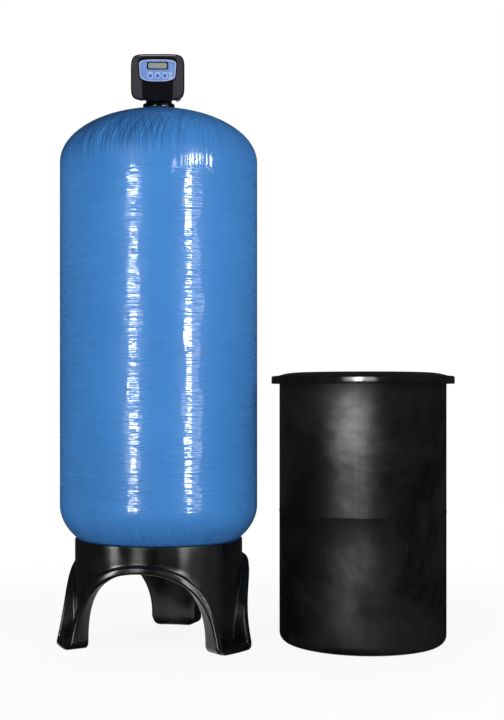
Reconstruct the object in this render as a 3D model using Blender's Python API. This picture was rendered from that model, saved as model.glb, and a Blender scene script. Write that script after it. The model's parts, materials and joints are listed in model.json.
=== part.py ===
# Commercial water softener: a wound fibreglass pressure tank on a moulded tripod
# base, with a control valve on its neck, and a separate brine tank beside it.
# Metres, +Z up, front towards -Y, floor at z = 0, the pair centred on the origin.
import math

import bmesh
import bpy
from mathutils import Matrix, Vector

# Fits
fit = 0.0003
running_fit = 0.00005
press_step = 0.0005

# Facets
big_facets = 32
mid_facets = 20
small_facets = 10
tiny_facets = 8

# Pressure tank
tank_radius = 0.385
tank_wall = 0.009
tank_cylinder_bottom = 0.530
tank_cylinder_height = 1.330
tank_top_dome = 0.208
tank_bottom_dome = 0.225
tank_dome_steps = 8
tank_inner_steps = 3
neck_radius = 0.0665
neck_rise = 0.0055
insert_wall = 0.0072
insert_bore = 0.0508
insert_length = 0.050

# Tripod base
base_height = 0.400
seat_rim = 0.0129
base_wall = 0.008
base_seat_depth = 0.009
leg_turn = math.radians(-9.6)
leg_width = 0.1808
arch_height = 0.302
arch_power = 2.22
arch_steps = 7
foot_corner = 0.030
lip_width = 0.027
lip_reach_foot = 0.073
lip_reach_top = 0.026
lip_flare = 1.6
lip_round = 0.007
ledge_height = 0.026

# Water treatment media and distributor
gravel_cover = 0.070
resin_top = 1.380
riser_radius = 0.025
riser_wall = 0.003
lateral_count = 6
lateral_radius = 0.0125
lateral_end_gap = 0.0229
hub_lift = 0.061
hub_radius = 0.042
hub_half_height = 0.025
socket_depth = 0.012
lateral_grooves = 1
lateral_turn = math.radians(11)
screen_radius = 0.045
screen_length = 0.080
screen_slots = 2
screen_slot_depth = 0.004

# Valve on the neck
adapter_flange_radius = 0.062
adapter_flange_height = 0.0187
adapter_spigot_radius = 0.0500
adapter_spigot_length = 0.034
o_ring_radius = 0.0022
o_ring_middle = 0.0545
column_radius = 0.050
column_height = 0.026
bore_lift = 0.0572
bore_radius = 0.0243
barrel_wall = 0.008
barrel_front = -0.0557
bore_end_wall = 0.0077
bore_end_space = 0.012
block_half_width = 0.045
block_step = 0.0023
flange_radius = 0.040
flange_thickness = 0.0160
stub_offset = 0.0260
stub_radius = 0.0205
stub_bore = 0.0150
stub_reach = 0.027
stub_drop = 0.017

# Piston and seals
stroke = 0.024
piston_radius = 0.0139
piston_length = 0.050
piston_waist = 0.009
piston_rod_radius = 0.004
seal_window_rows = 2
seal_window_sides = 4
seal_window = 0.008
seal_setback = 0.006

# Drive
bracket_thickness = 0.004
bracket_gap = 0.0003
drive_cap_radius = 0.0290
drive_cap_plug = 0.010
boss_radius = 0.008
boss_length = 0.0190
main_teeth = 24
pinion_teeth = 10
main_module = 0.0030
wheel_teeth = 20
wheel_module = 0.0018
gear_width = 0.008
wheel_width = 0.0038
gear_setback = 0.0065
wheel_setback = 0.0012
nut_length = 0.010
nut_radius = 0.010
idler_angle = math.radians(60)
motor_angle = math.radians(127)
idler_pin_radius = 0.003
motor_radius = 0.0125
motor_length = 0.034
motor_shaft_radius = 0.0012
screw_radius = 0.0022
screw_head_radius = 0.0042
screw_head_height = 0.003
screw_circle = 0.0345
screw_turn = math.radians(15)
screw_depth = 0.0130

# Cover and keyboard
cover_half_width = 0.103
cover_half_height = 0.0895
cover_front = -0.130
cover_back = 0.035
cover_side_draft = 0.012
cover_top_draft = 0.006
cover_bottom_draft = 0.044
cover_wall = 0.0026
cover_drop = 0.0068
cover_power = 6.0
cover_edge = 0.009
neck_clearance = 0.0025
inlay_half_width = 0.059
inlay_taper = 0.0025
inlay_height = 0.0700
inlay_depth = 0.0010
panel_half_top = 0.0720
panel_half_bottom = 0.0665
panel_half_height = 0.0425
panel_lift = 0.0235
panel_flange = 0.003
panel_thickness = 0.0061
panel_proud = 0.0016
panel_power = 7.0
window_half_width = 0.0405
window_half_height = 0.0148
window_lift = 0.0185
board_half_width = 0.066
board_half_height = 0.040
board_thickness = 0.0016
board_setback = 0.0055
post_radius = 0.004
key_radius = 0.0065
key_spacing = 0.0278
key_drop = 0.0200
key_proud = 0.0012
key_travel = 0.001
key_flange = 0.0020
key_flange_thickness = 0.0012
arrow_inner = 0.0165
arrow_outer = 0.0290
arrow_from = math.radians(5)
arrow_to = math.radians(38)

# Fittings of the valve
connector_reach = 0.060
connector_wall = 0.0035
union_nut_radius = 0.0285
union_nut_length = 0.022
turbine_radius = 0.0125
turbine_length = 0.012
turbine_blades = 6
turbine_twist = math.radians(35)
cage_arms = 3
injector_cap_radius = 0.012
injector_cap_length = 0.010
cap_y = -0.006
drain_radius = 0.0105
brine_radius = 0.0075
line_wall = 0.0028
elbow_bend = 0.014
elbow_reach = 0.052
nipple_setback = 0.009
line_nut_length = 0.016

# Brine tank
vessel_gap_middle = 0.793
brine_forward = 0.030
brine_radius_outer = 0.322
brine_wall = 0.006
brine_height = 1.020
brine_corner = 0.036
brine_rim = 0.012
brine_rim_height = 0.012
weld_height = 0.508
weld_bead = 0.0015
lid_radius = 0.353
lid_wall = 0.004
lid_skirt = 0.0302
lid_crown = 0.0155
lid_crown_power = 9
lid_edge = 0.006
grid_height = 0.150
grid_thickness = 0.012
grid_slots = 14
grid_slot_width = 0.010
grid_legs = 4
grid_leg_radius = 0.016
well_radius = 0.056
well_wall = 0.003
well_height = 0.960
well_slots = 3
well_cap_height = 0.012
overflow_height = 0.800
overflow_angle = math.radians(-36)
overflow_radius = 0.0130
overflow_nut_radius = 0.021
brine_line_height = 0.880
safety_valve_radius = 0.017
safety_valve_height = 0.050
float_radius = 0.024
float_height = 0.060
float_centre_height = 0.470
float_rod_radius = 0.0025
pickup_radius = 0.0060
air_check_radius = 0.014
air_check_height = 0.060

# Heights and places that follow from the sizes above
tank_cylinder_top = tank_cylinder_bottom + tank_cylinder_height
tank_inner_radius = tank_radius - tank_wall
neck_top = tank_cylinder_top + tank_top_dome + neck_rise
insert_radius = insert_bore + insert_wall
adapter_bottom = neck_top + fit
adapter_top = adapter_bottom + adapter_flange_height
body_bottom = adapter_top + fit
bore_height = body_bottom + bore_lift
barrel_radius = bore_radius + barrel_wall
bracket_back = barrel_front - bracket_gap
bracket_front = bracket_back - bracket_thickness
cover_middle = adapter_bottom + cover_drop + cover_half_height
panel_height = cover_middle + panel_lift
panel_back = cover_front + panel_thickness - panel_proud
panel_face = cover_front - panel_proud
key_height = panel_height - key_drop
window_height = panel_height + window_lift
board_front = panel_back + board_setback
board_back = board_front + board_thickness
main_pitch = main_teeth * main_module / 2
pinion_pitch = pinion_teeth * main_module / 2
wheel_pitch = wheel_teeth * wheel_module / 2
motor_pitch = pinion_teeth * wheel_module / 2
idler_x = (main_pitch + pinion_pitch) * math.cos(idler_angle)
idler_z = bore_height + (main_pitch + pinion_pitch) * math.sin(idler_angle)
motor_x = idler_x + (wheel_pitch + motor_pitch) * math.cos(motor_angle)
motor_z = idler_z + (wheel_pitch + motor_pitch) * math.sin(motor_angle)
gear_back = bracket_front - gear_setback
gear_front = gear_back - gear_width
seal_front = barrel_front + drive_cap_plug + seal_setback
piston_front = seal_front + 0.004
bore_back = piston_front + piston_length + stroke + bore_end_space
seal_back = bore_back - fit
barrel_back = bore_back + bore_end_wall
block_back = barrel_back + block_step
well_y = brine_radius_outer - brine_corner - well_radius - press_step
tank_floor = tank_cylinder_bottom - tank_bottom_dome + tank_wall
lateral_height = tank_floor + hub_lift + hub_half_height
arm_height = lateral_height - hub_half_height / 3
gravel_top = lateral_height + gravel_cover


def clear_scene():
    for item in list(bpy.data.objects):
        bpy.data.objects.remove(item, do_unlink=True)


def finish(name, colour, roughness, metallic=0.0, alpha=1.0):
    material = bpy.data.materials.new(name)
    material.use_nodes = True
    shader = material.node_tree.nodes["Principled BSDF"]
    shader.inputs["Base Color"].default_value = (*colour, 1.0)
    shader.inputs["Roughness"].default_value = roughness
    shader.inputs["Metallic"].default_value = metallic
    shader.inputs["Alpha"].default_value = alpha
    return material


# Mesh helpers

def face_outwards(bm):
    bmesh.ops.recalc_face_normals(bm, faces=bm.faces)
    if bm.calc_volume(signed=True) < 0:
        bmesh.ops.reverse_faces(bm, faces=bm.faces)


def spin_profile(bm, profile, facets, axis="Z", centre=(0, 0, 0)):
    """Turn (radius, height) points about an axis; a profile that leaves the axis closes on itself."""
    centre = Vector(centre)
    along = Vector((0, 0, 1)) if axis == "Z" else Vector((0, 1, 0))
    outward = Vector((1, 0, 0))
    verts = [bm.verts.new(centre + outward * r + along * h) for r, h in profile]
    pairs = list(zip(verts, verts[1:]))
    if profile[0][0] > 1e-9:
        pairs.append((verts[-1], verts[0]))
    edges = [bm.edges.new(pair) for pair in pairs]
    bmesh.ops.spin(bm, geom=verts + edges, cent=centre, axis=along, angle=2 * math.pi,
                   steps=facets, use_merge=True)
    bmesh.ops.remove_doubles(bm, verts=bm.verts, dist=1e-6)
    for (r0, h0), (r1, h1) in ((profile[0], profile[1]), (profile[-1], profile[-2])):
        if r0 < 1e-9 and abs(h0 - h1) < 1e-9:
            pole = centre + along * h0
            flat = [v for v in bm.verts if (v.co - pole).length < 1e-7]
            bmesh.ops.dissolve_verts(bm, verts=flat)
    face_outwards(bm)


def loft(bm, loops, ring=False):
    """Skin matching loops of points in turn, then cap both ends or join the last to the first."""
    rows = [[bm.verts.new(point) for point in points] for points in loops]
    pairs = list(zip(rows, rows[1:]))
    if ring:
        pairs.append((rows[-1], rows[0]))
    else:
        bm.faces.new(rows[0][::-1])
        bm.faces.new(rows[-1])
    for low, high in pairs:
        count = len(low)
        for k in range(count):
            after = (k + 1) % count
            bm.faces.new((low[k], low[after], high[after], high[k]))
    face_outwards(bm)


def prism(bm, outline, low, high, axis="Y"):
    """Extrude a flat outline; points are (x, z) along Y, or (x, y) along Z."""
    def place(point, level):
        if axis == "Y":
            return Vector((point[0], level, point[1]))
        return Vector((point[0], point[1], level))
    loft(bm, [[place(p, low) for p in outline], [place(p, high) for p in outline]])


def box(bm, low, high):
    low = Vector(low)
    high = Vector(high)
    size = high - low
    matrix = Matrix.Translation((low + high) / 2) @ Matrix.Diagonal((*size, 1.0))
    bmesh.ops.create_cube(bm, size=1.0, matrix=matrix)


def rod(bm, start, end, radius, facets=small_facets):
    start = Vector(start)
    end = Vector(end)
    along = end - start
    turn = Vector((0, 0, 1)).rotation_difference(along).to_matrix().to_4x4()
    matrix = Matrix.Translation((start + end) / 2) @ turn
    bmesh.ops.create_cone(bm, cap_ends=True, segments=facets, radius1=radius, radius2=radius,
                          depth=along.length, matrix=matrix)


def clear_radius(radius, facets):
    """Corner radius of a faceted hole whose flats still clear a round piece of this radius."""
    return radius / math.cos(math.pi / facets)


def hole(bm, start, end, radius, facets=small_facets):
    rod(bm, start, end, clear_radius(radius, facets), facets)


def join_copy(bm, single):
    """Add one solid to a group of separate solids."""
    mesh = bpy.data.meshes.new("one_of_a_group")
    single.to_mesh(mesh)
    single.free()
    bm.from_mesh(mesh)
    bpy.data.meshes.remove(mesh)


def circle_points(centre, normal, side, radius, facets):
    other = Vector(normal).normalized().cross(Vector(side).normalized())
    steps = [2 * math.pi * k / facets for k in range(facets)]
    return [Vector(centre) + radius * (math.cos(t) * Vector(side).normalized() + math.sin(t) * other)
            for t in steps]


def pipe(bm, path, outer, inner, side, facets=small_facets):
    """A hollow tube along a planar path; side is the normal of the plane that the path lies in."""
    path = [Vector(point) for point in path]
    frames = []
    for k, point in enumerate(path):
        before = path[max(k - 1, 0)]
        after = path[min(k + 1, len(path) - 1)]
        frames.append((point, (after - before).normalized()))
    outside = [circle_points(point, along, side, outer, facets) for point, along in frames]
    inside = [circle_points(point, along, side, inner, facets) for point, along in frames]
    loft(bm, outside + inside[::-1], ring=True)


def bend_path(start, corner, end, radius, steps=4):
    """Two straight runs joined by a round bend."""
    start = Vector(start)
    corner = Vector(corner)
    end = Vector(end)
    into = (corner - start).normalized()
    out = (end - corner).normalized()
    centre = corner - into * radius + out * radius
    bend = [centre - out * radius * math.cos(t) + into * radius * math.sin(t)
            for t in [math.pi / 2 * k / steps for k in range(steps + 1)]]
    return [start] + bend + [end]


def superellipse(half_width, half_height, power, facets=mid_facets, middle=(0.0, 0.0)):
    points = []
    for k in range(facets):
        t = 2 * math.pi * (k + 0.5) / facets
        x = math.copysign(abs(math.cos(t)) ** (2 / power), math.cos(t))
        z = math.copysign(abs(math.sin(t)) ** (2 / power), math.sin(t))
        points.append((middle[0] + half_width * x, middle[1] + half_height * z))
    return points


def polygon(radius, sides, middle=(0.0, 0.0), turn=0.0):
    steps = [turn + 2 * math.pi * k / sides for k in range(sides)]
    return [(middle[0] + radius * math.cos(t), middle[1] + radius * math.sin(t)) for t in steps]


def at_level(outline, level):
    return [Vector((x, level, z)) for x, z in outline]


def add_object(name, bm, material, parent=None, origin=(0, 0, 0), sharp=32):
    mesh = bpy.data.meshes.new(name)
    bmesh.ops.translate(bm, verts=bm.verts, vec=-Vector(origin))
    bm.to_mesh(mesh)
    bm.free()
    mesh.shade_smooth()
    mesh.set_sharp_from_angle(angle=math.radians(sharp))
    if material is not None:
        mesh.materials.append(material)
    made = bpy.data.objects.new(name, mesh)
    bpy.context.scene.collection.objects.link(made)
    made.location = origin
    made.parent = parent
    return made


def add_cutter(name, bm, parent, origin=(0, 0, 0)):
    guide = add_object(name, bm, None, parent, origin)
    guide.hide_render = True
    guide.display_type = "WIRE"
    return guide


def boolean(target, tool, operation):
    step = target.modifiers.new(tool.name, "BOOLEAN")
    step.operation = operation
    step.solver = "EXACT"
    step.object = tool


def add_empty(name, location):
    empty = bpy.data.objects.new(name, None)
    bpy.context.scene.collection.objects.link(empty)
    empty.location = location
    return empty


# Tank shapes

def tank_outer_profile():
    """Outer wall from the bottom pole up to the neck."""
    points = []
    for k in range(tank_dome_steps + 1):
        t = math.pi / 2 * k / tank_dome_steps
        points.append((tank_radius * math.sin(t), tank_cylinder_bottom - tank_bottom_dome * math.cos(t)))
    last = math.acos(neck_radius / tank_radius)
    for k in range(tank_dome_steps + 1):
        t = last * k / tank_dome_steps
        points.append((tank_radius * math.cos(t), tank_cylinder_top + tank_top_dome * math.sin(t)))
    return points


def tank_inner_profile():
    """Inner wall from the bottom pole up to the hole for the threaded insert."""
    hole_radius = clear_radius(insert_radius + fit, big_facets)
    low = tank_bottom_dome - tank_wall
    high = tank_top_dome - tank_wall
    points = []
    for k in range(tank_inner_steps + 1):
        t = math.pi / 2 * k / tank_inner_steps
        points.append((tank_inner_radius * math.sin(t), tank_cylinder_bottom - low * math.cos(t)))
    last = math.acos(hole_radius / tank_inner_radius)
    for k in range(tank_inner_steps + 1):
        t = last * k / tank_inner_steps
        points.append((tank_inner_radius * math.cos(t), tank_cylinder_top + high * math.sin(t)))
    return points


def radius_at(profile, height):
    """Radius of a wall profile at a height, along its straight steps."""
    for (r0, z0), (r1, z1) in zip(profile, profile[1:]):
        if z0 <= height <= z1:
            return r0 + (r1 - r0) * (height - z0) / (z1 - z0)
    return profile[-1][0]


# Sizes that follow from the shape of the tank's walls
base_radius = radius_at(tank_outer_profile(), base_height) + seat_rim
arch_half_width = math.pi * base_radius / 3 - leg_width / 2
lateral_reach = radius_at(tank_inner_profile(), arm_height) - lateral_end_gap


def resin_tank(parent, material):
    outer = tank_outer_profile()
    inner = tank_inner_profile()
    hole_radius = clear_radius(insert_radius + fit, big_facets)
    neck = [(neck_radius, neck_top - 0.002), (neck_radius - 0.002, neck_top), (hole_radius, neck_top)]
    bm = bmesh.new()
    spin_profile(bm, outer + neck + inner[::-1], big_facets)
    add_object("resin_tank", bm, material, parent)


def tank_neck_ring(parent, material):
    bottom = neck_top - insert_length
    grooves = 1
    groove = 0.0012
    pitch = insert_length / (2 * grooves + 1)
    outside = [(insert_radius, neck_top)]
    inside = []
    for k in range(grooves):
        z = neck_top - pitch * (2 * k + 1)
        inside += [(insert_bore, z), (insert_bore + groove, z - pitch * 0.3),
                   (insert_bore + groove, z - pitch * 0.7), (insert_bore, z - pitch)]
    profile = [(insert_radius, bottom)] + outside + [(insert_bore, neck_top)] + inside
    profile.append((insert_bore, bottom))
    bm = bmesh.new()
    spin_profile(bm, profile, mid_facets)
    add_object("tank_neck_ring", bm, material, parent)


def media_profile(low, high, hollow=0.0):
    """A charge of loose media that fills the tank between two heights."""
    shrink = math.cos(math.pi / big_facets)
    wall = tank_inner_profile()
    stations = [z for r, z in wall if low < z < high]
    points = []
    if hollow == 0.0:
        points.append((0.0, low))
    else:
        points.append((hollow, low))
    levels = ([low] if radius_at(wall, low) > hollow + fit else []) + stations + [high]
    for z in levels:
        points.append((radius_at(wall, z) * shrink - 2 * fit, z + fit if z in stations else z))
    points.append((hollow, high))
    return points


def gravel_bed(parent, material):
    bm = bmesh.new()
    spin_profile(bm, media_profile(tank_floor + fit, gravel_top), mid_facets)
    bed = add_object("gravel_bed", bm, material, parent, sharp=60)
    bm = bmesh.new()
    top = lateral_height + hub_half_height + fit
    low = lateral_height - hub_half_height - fit
    clear_hub = clear_radius(hub_radius + fit, small_facets)
    clear_riser = clear_radius(riser_radius + fit, small_facets)
    spin_profile(bm, [(0, low), (clear_hub, low), (clear_hub, top), (clear_riser, top),
                      (clear_riser, gravel_top + 0.02), (0, gravel_top + 0.02)], small_facets)
    space = add_cutter("gravel_space", bm, parent)
    boolean(bed, space, "DIFFERENCE")
    bm = bmesh.new()
    middle = Vector((0, 0, arm_height))
    for k in range(lateral_count):
        turn = lateral_turn + 2 * math.pi * k / lateral_count
        way = Vector((math.cos(turn), math.sin(turn), 0))
        start = way * (hub_radius - socket_depth) + middle
        end = way * (lateral_reach + fit) + middle
        hole(bm, start, end, lateral_radius + fit, tiny_facets)
    boolean(space, add_cutter("gravel_arm_space", bm, parent), "UNION")


def resin_bed(parent, material):
    bm = bmesh.new()
    hollow = clear_radius(riser_radius + fit, mid_facets)
    spin_profile(bm, media_profile(gravel_top + fit, resin_top, hollow), mid_facets)
    add_object("resin_bed", bm, material, parent, sharp=60)


def riser_tube(parent, material):
    bottom = lateral_height
    top = body_bottom + column_height / 3
    inner = riser_radius - riser_wall
    bm = bmesh.new()
    spin_profile(bm, [(inner, bottom), (riser_radius, bottom), (riser_radius, top), (inner, top)],
                 small_facets)
    add_object("riser_tube", bm, material, parent)


def distributor(parent, material):
    """Hub that the riser stands in, with its strainer arms."""
    low = lateral_height - hub_half_height
    high = lateral_height + hub_half_height
    socket = clear_radius(riser_radius + fit, small_facets)
    floor = lateral_height - fit
    bm = bmesh.new()
    spin_profile(bm, [(0, low), (hub_radius - 0.004, low), (hub_radius, low + 0.004), (hub_radius, high),
                      (socket, high), (socket, floor), (0, floor)], small_facets)
    hub = add_object("distributor", bm, material, parent)
    arms = bmesh.new()
    for k in range(lateral_count):
        turn = lateral_turn + 2 * math.pi * k / lateral_count
        single = bmesh.new()
        spin_profile(single, lateral_profile(), tiny_facets, axis="Y")
        placed = Matrix.Translation((0, 0, arm_height)) @ Matrix.Rotation(turn - math.pi / 2, 4, "Z")
        bmesh.ops.transform(single, matrix=placed, verts=single.verts)
        join_copy(arms, single)
    boolean(hub, add_cutter("distributor_arms", arms, parent), "UNION")


def lateral_profile():
    """A closed strainer arm with grooves where its slots are."""
    start = hub_radius - socket_depth
    groove = lateral_radius * 0.88
    pitch = (lateral_reach - hub_radius) / (lateral_grooves + 1)
    points = [(0, start), (lateral_radius, start)]
    for k in range(lateral_grooves):
        at = hub_radius + pitch * (k + 1)
        points += [(lateral_radius, at - 0.004), (groove, at - 0.002), (groove, at + 0.002),
                   (lateral_radius, at + 0.004)]
    points += [(lateral_radius, lateral_reach - 0.004), (lateral_radius * 0.6, lateral_reach),
               (0, lateral_reach)]
    return points


def top_screen(parent, material):
    top = adapter_bottom - adapter_spigot_length - fit
    bottom = top - screen_length
    inner = clear_radius(riser_radius + fit, small_facets)
    pitch = screen_length / (2 * screen_slots + 1)
    profile = [(inner, bottom), (screen_radius, bottom)]
    for k in range(screen_slots):
        z = bottom + pitch * (2 * k + 1)
        deep = screen_radius - screen_slot_depth
        profile += [(screen_radius, z), (deep, z), (deep, z + pitch), (screen_radius, z + pitch)]
    profile += [(screen_radius, top), (inner, top)]
    bm = bmesh.new()
    spin_profile(bm, profile, small_facets)
    add_object("top_screen", bm, material, parent)


# Tripod base

def lip_radius(z):
    """Outer radius of the raised lip: it stands out most at the foot."""
    share = min(max(z / (arch_height + lip_width), 0.0), 1.0)
    return base_radius + lip_reach_top + (lip_reach_foot - lip_reach_top) * (1 - share) ** lip_flare


def arch_half_outline(grow):
    """Points (arc, z) from the floor up one side of an arch to its crown."""
    wide = arch_half_width + grow
    high = arch_height + grow
    points = []
    corner_steps = 2
    for k in range(corner_steps + 1):
        t = math.pi / 2 * k / corner_steps
        points.append((wide + foot_corner * (1 - math.sin(t)), foot_corner * (1 - math.cos(t))))
    for k in range(1, arch_steps + 1):
        t = math.pi / 2 * k / arch_steps
        arc = wide * math.cos(t) ** (2 / arch_power)
        z = foot_corner + (high - foot_corner) * math.sin(t) ** (2 / arch_power)
        points.append((arc, z))
    return points


def arch_outline(grow):
    half = arch_half_outline(grow)
    other = [(-arc, z) for arc, z in half[:-1]]
    return half + other[::-1]


def around(arc, z, radius, turn):
    """A point at an arc length measured on the base's wall, from the front of an arch."""
    angle = turn + arc / base_radius
    return Vector((radius * math.sin(angle), -radius * math.cos(angle), z))


def arch_turns():
    return [leg_turn + 2 * math.pi * k / 3 for k in range(3)]


def base_reach(way):
    """How far the feet stand out from the base's axis in one direction."""
    rims = [around(arc, z, lip_radius(z), turn) for turn in arch_turns() for arc, z in arch_outline(0.0)]
    return max(rim.dot(Vector(way)) for rim in rims)


def arch_cutter(parent):
    """Three arches, flared at the lip's outer edge so that the edge is round."""
    bm = bmesh.new()
    inside = base_radius * 0.75
    outside = base_radius * 1.9
    for turn in arch_turns():
        plain = [(arc, z if z > 0 else -0.01) for arc, z in arch_outline(0.0)]
        flared = [(arc, z if z > 0 else -0.01) for arc, z in arch_outline(lip_round)]
        loops = [[around(arc, z, inside, turn) for arc, z in plain],
                 [around(arc, z, lip_radius(z) - lip_round, turn) for arc, z in plain],
                 [around(arc, z, lip_radius(z) + 0.0005, turn) for arc, z in flared],
                 [around(arc, z, outside, turn) for arc, z in flared]]
        loft(bm, loops)
    return add_cutter("arch_cutter", bm, parent)


def lip_band(parent):
    """Raised lips round the three arches, as swept bands."""
    bm = bmesh.new()
    root = base_radius - base_wall / 2
    for turn in arch_turns():
        near = arch_outline(-0.010)
        edge = arch_outline(lip_width - lip_round)
        far = arch_outline(lip_width)
        loops = []
        for (a0, z0), (a1, z1), (a2, z2) in zip(near, edge, far):
            top = lip_radius(z1)
            loops.append([around(a0, z0, root, turn), around(a0, z0, top, turn),
                          around(a1, z1, top, turn), around(a2, z2, top - lip_round, turn),
                          around(a2, z2, root, turn)])
        loft(bm, loops)
    return add_cutter("lip_band", bm, parent)


def foot_ledge(parent):
    """The ledge that closes the foot of each leg between its two lips."""
    bm = bmesh.new()
    root = base_radius - base_wall / 2
    span = math.pi / 3 - (arch_half_width - 0.02) / base_radius
    steps = 4
    for turn in arch_turns():
        loops = []
        for k in range(steps + 1):
            angle = turn + math.pi / 3 + span * (2 * k / steps - 1)
            section = [(root, 0), (lip_radius(0) - lip_round, 0), (lip_radius(0) - 0.001, lip_round),
                       (lip_radius(ledge_height) - 0.001, ledge_height - lip_round),
                       (lip_radius(ledge_height) - lip_round, ledge_height), (root, ledge_height)]
            loops.append([Vector((r * math.sin(angle), -r * math.cos(angle), z)) for r, z in section])
        loft(bm, loops)
    return add_cutter("foot_ledge", bm, parent)


def tripod_base(parent, material):
    seat_wall = tank_outer_profile()
    seat_low = base_height - base_seat_depth
    inner = base_radius - base_wall
    seat_top_radius = radius_at(seat_wall, base_height) + fit * 1.5
    seat_low_radius = radius_at(seat_wall, seat_low) + fit * 1.5
    profile = [(inner, 0), (base_radius, 0), (base_radius, base_height - 0.004),
               (base_radius - 0.002, base_height), (seat_top_radius, base_height),
               (seat_low_radius, seat_low), (seat_low_radius, seat_low - base_wall),
               (inner, seat_low - 2.2 * base_wall)]
    bm = bmesh.new()
    spin_profile(bm, profile, big_facets)
    base = add_object("tripod_base", bm, material, parent)
    boolean(base, lip_band(parent), "UNION")
    boolean(base, foot_ledge(parent), "UNION")
    boolean(base, arch_cutter(parent), "DIFFERENCE")


# Valve body and what seals it to the tank

def tank_adapter(parent, material, seal_material):
    bore = clear_radius(riser_radius + fit, mid_facets)
    spigot_bottom = adapter_bottom - adapter_spigot_length
    groove_in = o_ring_middle - o_ring_radius - fit
    groove_out = o_ring_middle + o_ring_radius + fit
    groove_top = adapter_bottom + 2 * o_ring_radius + fit
    rim = 0.0025
    profile = [(bore, spigot_bottom), (adapter_spigot_radius - 0.002, spigot_bottom),
               (adapter_spigot_radius, spigot_bottom + 0.002), (adapter_spigot_radius, adapter_bottom),
               (groove_in, adapter_bottom), (groove_in, groove_top), (groove_out, groove_top),
               (groove_out, adapter_bottom), (adapter_flange_radius - rim, adapter_bottom),
               (adapter_flange_radius, adapter_bottom + rim), (adapter_flange_radius, adapter_top - rim),
               (adapter_flange_radius - rim, adapter_top), (bore, adapter_top)]
    bm = bmesh.new()
    spin_profile(bm, profile, mid_facets)
    add_object("tank_adapter", bm, material, parent)
    ring = polygon(o_ring_radius, 5, (o_ring_middle, adapter_bottom + o_ring_radius), math.pi / 10)
    bm = bmesh.new()
    spin_profile(bm, ring, mid_facets)
    add_object("adapter_o_ring", bm, seal_material, parent)


def valve_body(parent, material):
    bm = bmesh.new()
    flange_back = barrel_front + flange_thickness
    barrel = [(0, barrel_front), (flange_radius, barrel_front), (flange_radius, flange_back),
              (barrel_radius, flange_back + 0.003), (barrel_radius, barrel_back - 0.003),
              (barrel_radius - 0.003, barrel_back), (0, barrel_back)]
    spin_profile(bm, barrel, mid_facets, "Y", (0, 0, bore_height))
    body = add_object("valve_body", bm, material, parent)

    port_height = bore_height - stub_drop
    bm = bmesh.new()
    low = body_bottom + column_height - 0.005
    box(bm, (-block_half_width, barrel_front + 0.011, low),
        (block_half_width, block_back, bore_height + 0.004))
    boolean(body, add_cutter("valve_block", bm, parent), "UNION")

    bm = bmesh.new()
    nipple_y = cover_back + nipple_setback
    for side, radius in ((1, drain_radius), (-1, brine_radius)):
        rod(bm, (side * (block_half_width - 0.006), nipple_y, bore_height - 0.010),
            (side * (block_half_width + 0.008), nipple_y, bore_height - 0.010), radius + 0.0015)
        rod(bm, (side * (block_half_width - 0.012), cap_y, port_height),
            (side * (block_half_width + 0.006), cap_y, port_height), injector_cap_radius + 0.001)
    boolean(body, add_cutter("valve_side_ports", bm, parent), "UNION")

    bm = bmesh.new()
    rod(bm, (0, 0, body_bottom), (0, 0, body_bottom + column_height), column_radius, mid_facets)
    for side in (-1, 1):
        rod(bm, (side * stub_offset, block_back - 0.013, port_height),
            (side * stub_offset, barrel_back + stub_reach, port_height), stub_radius, small_facets)
    boolean(body, add_cutter("valve_column", bm, parent), "UNION")

    bm = bmesh.new()
    wide = clear_radius(bore_radius, mid_facets)
    main = [(0, barrel_front - 0.01), (wide, barrel_front - 0.01), (wide, bore_back), (0, bore_back)]
    spin_profile(bm, main, mid_facets, "Y", (0, 0, bore_height))
    boolean(body, add_cutter("main_bore", bm, parent), "DIFFERENCE")

    bm = bmesh.new()
    hole(bm, (0, 0, body_bottom - 0.01), (0, 0, bore_height - bore_radius * 0.5), riser_radius + fit)
    boolean(body, add_cutter("riser_bore", bm, parent), "DIFFERENCE")

    bm = bmesh.new()
    for side in (-1, 1):
        hole(bm, (side * stub_offset, riser_radius + 0.008, port_height),
            (side * stub_offset, barrel_back + stub_reach + 0.01, port_height), stub_bore, small_facets)
    boolean(body, add_cutter("port_bores", bm, parent), "DIFFERENCE")

    bm = bmesh.new()
    bottom = barrel_front + screw_depth + fit
    for x, z in screw_places():
        hole(bm, (x, barrel_front - 0.01, z), (x, bottom, z), screw_radius + fit, tiny_facets)
    boolean(body, add_cutter("body_screw_holes", bm, parent), "DIFFERENCE")


def screw_places():
    angles = [screw_turn + math.pi / 2 * k for k in range(4)]
    return [(screw_circle * math.cos(t), bore_height + screw_circle * math.sin(t)) for t in angles]


def seal_stack(parent, material):
    inner = clear_radius(piston_radius + running_fit, small_facets)
    outer = bore_radius - fit
    profile = [(inner, seal_front), (outer, seal_front), (outer, seal_back), (inner, seal_back)]
    bm = bmesh.new()
    spin_profile(bm, profile, small_facets, "Y", (0, 0, bore_height))
    stack = add_object("seal_stack", bm, material, parent)
    bm = bmesh.new()
    pitch = (seal_back - seal_front) / (seal_window_rows + 1)
    for row in range(seal_window_rows):
        y = seal_front + pitch * (row + 1)
        for k in range(seal_window_sides):
            t = math.pi / seal_window_sides + 2 * math.pi * k / seal_window_sides
            way = Vector((math.cos(t), 0, math.sin(t)))
            start = way * (inner * 0.6) + Vector((0, y, bore_height))
            end = way * (outer + 0.005) + Vector((0, y, bore_height))
            rod(bm, start, end, seal_window / 2, 6)
    boolean(stack, add_cutter("seal_windows", bm, parent), "DIFFERENCE")


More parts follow.
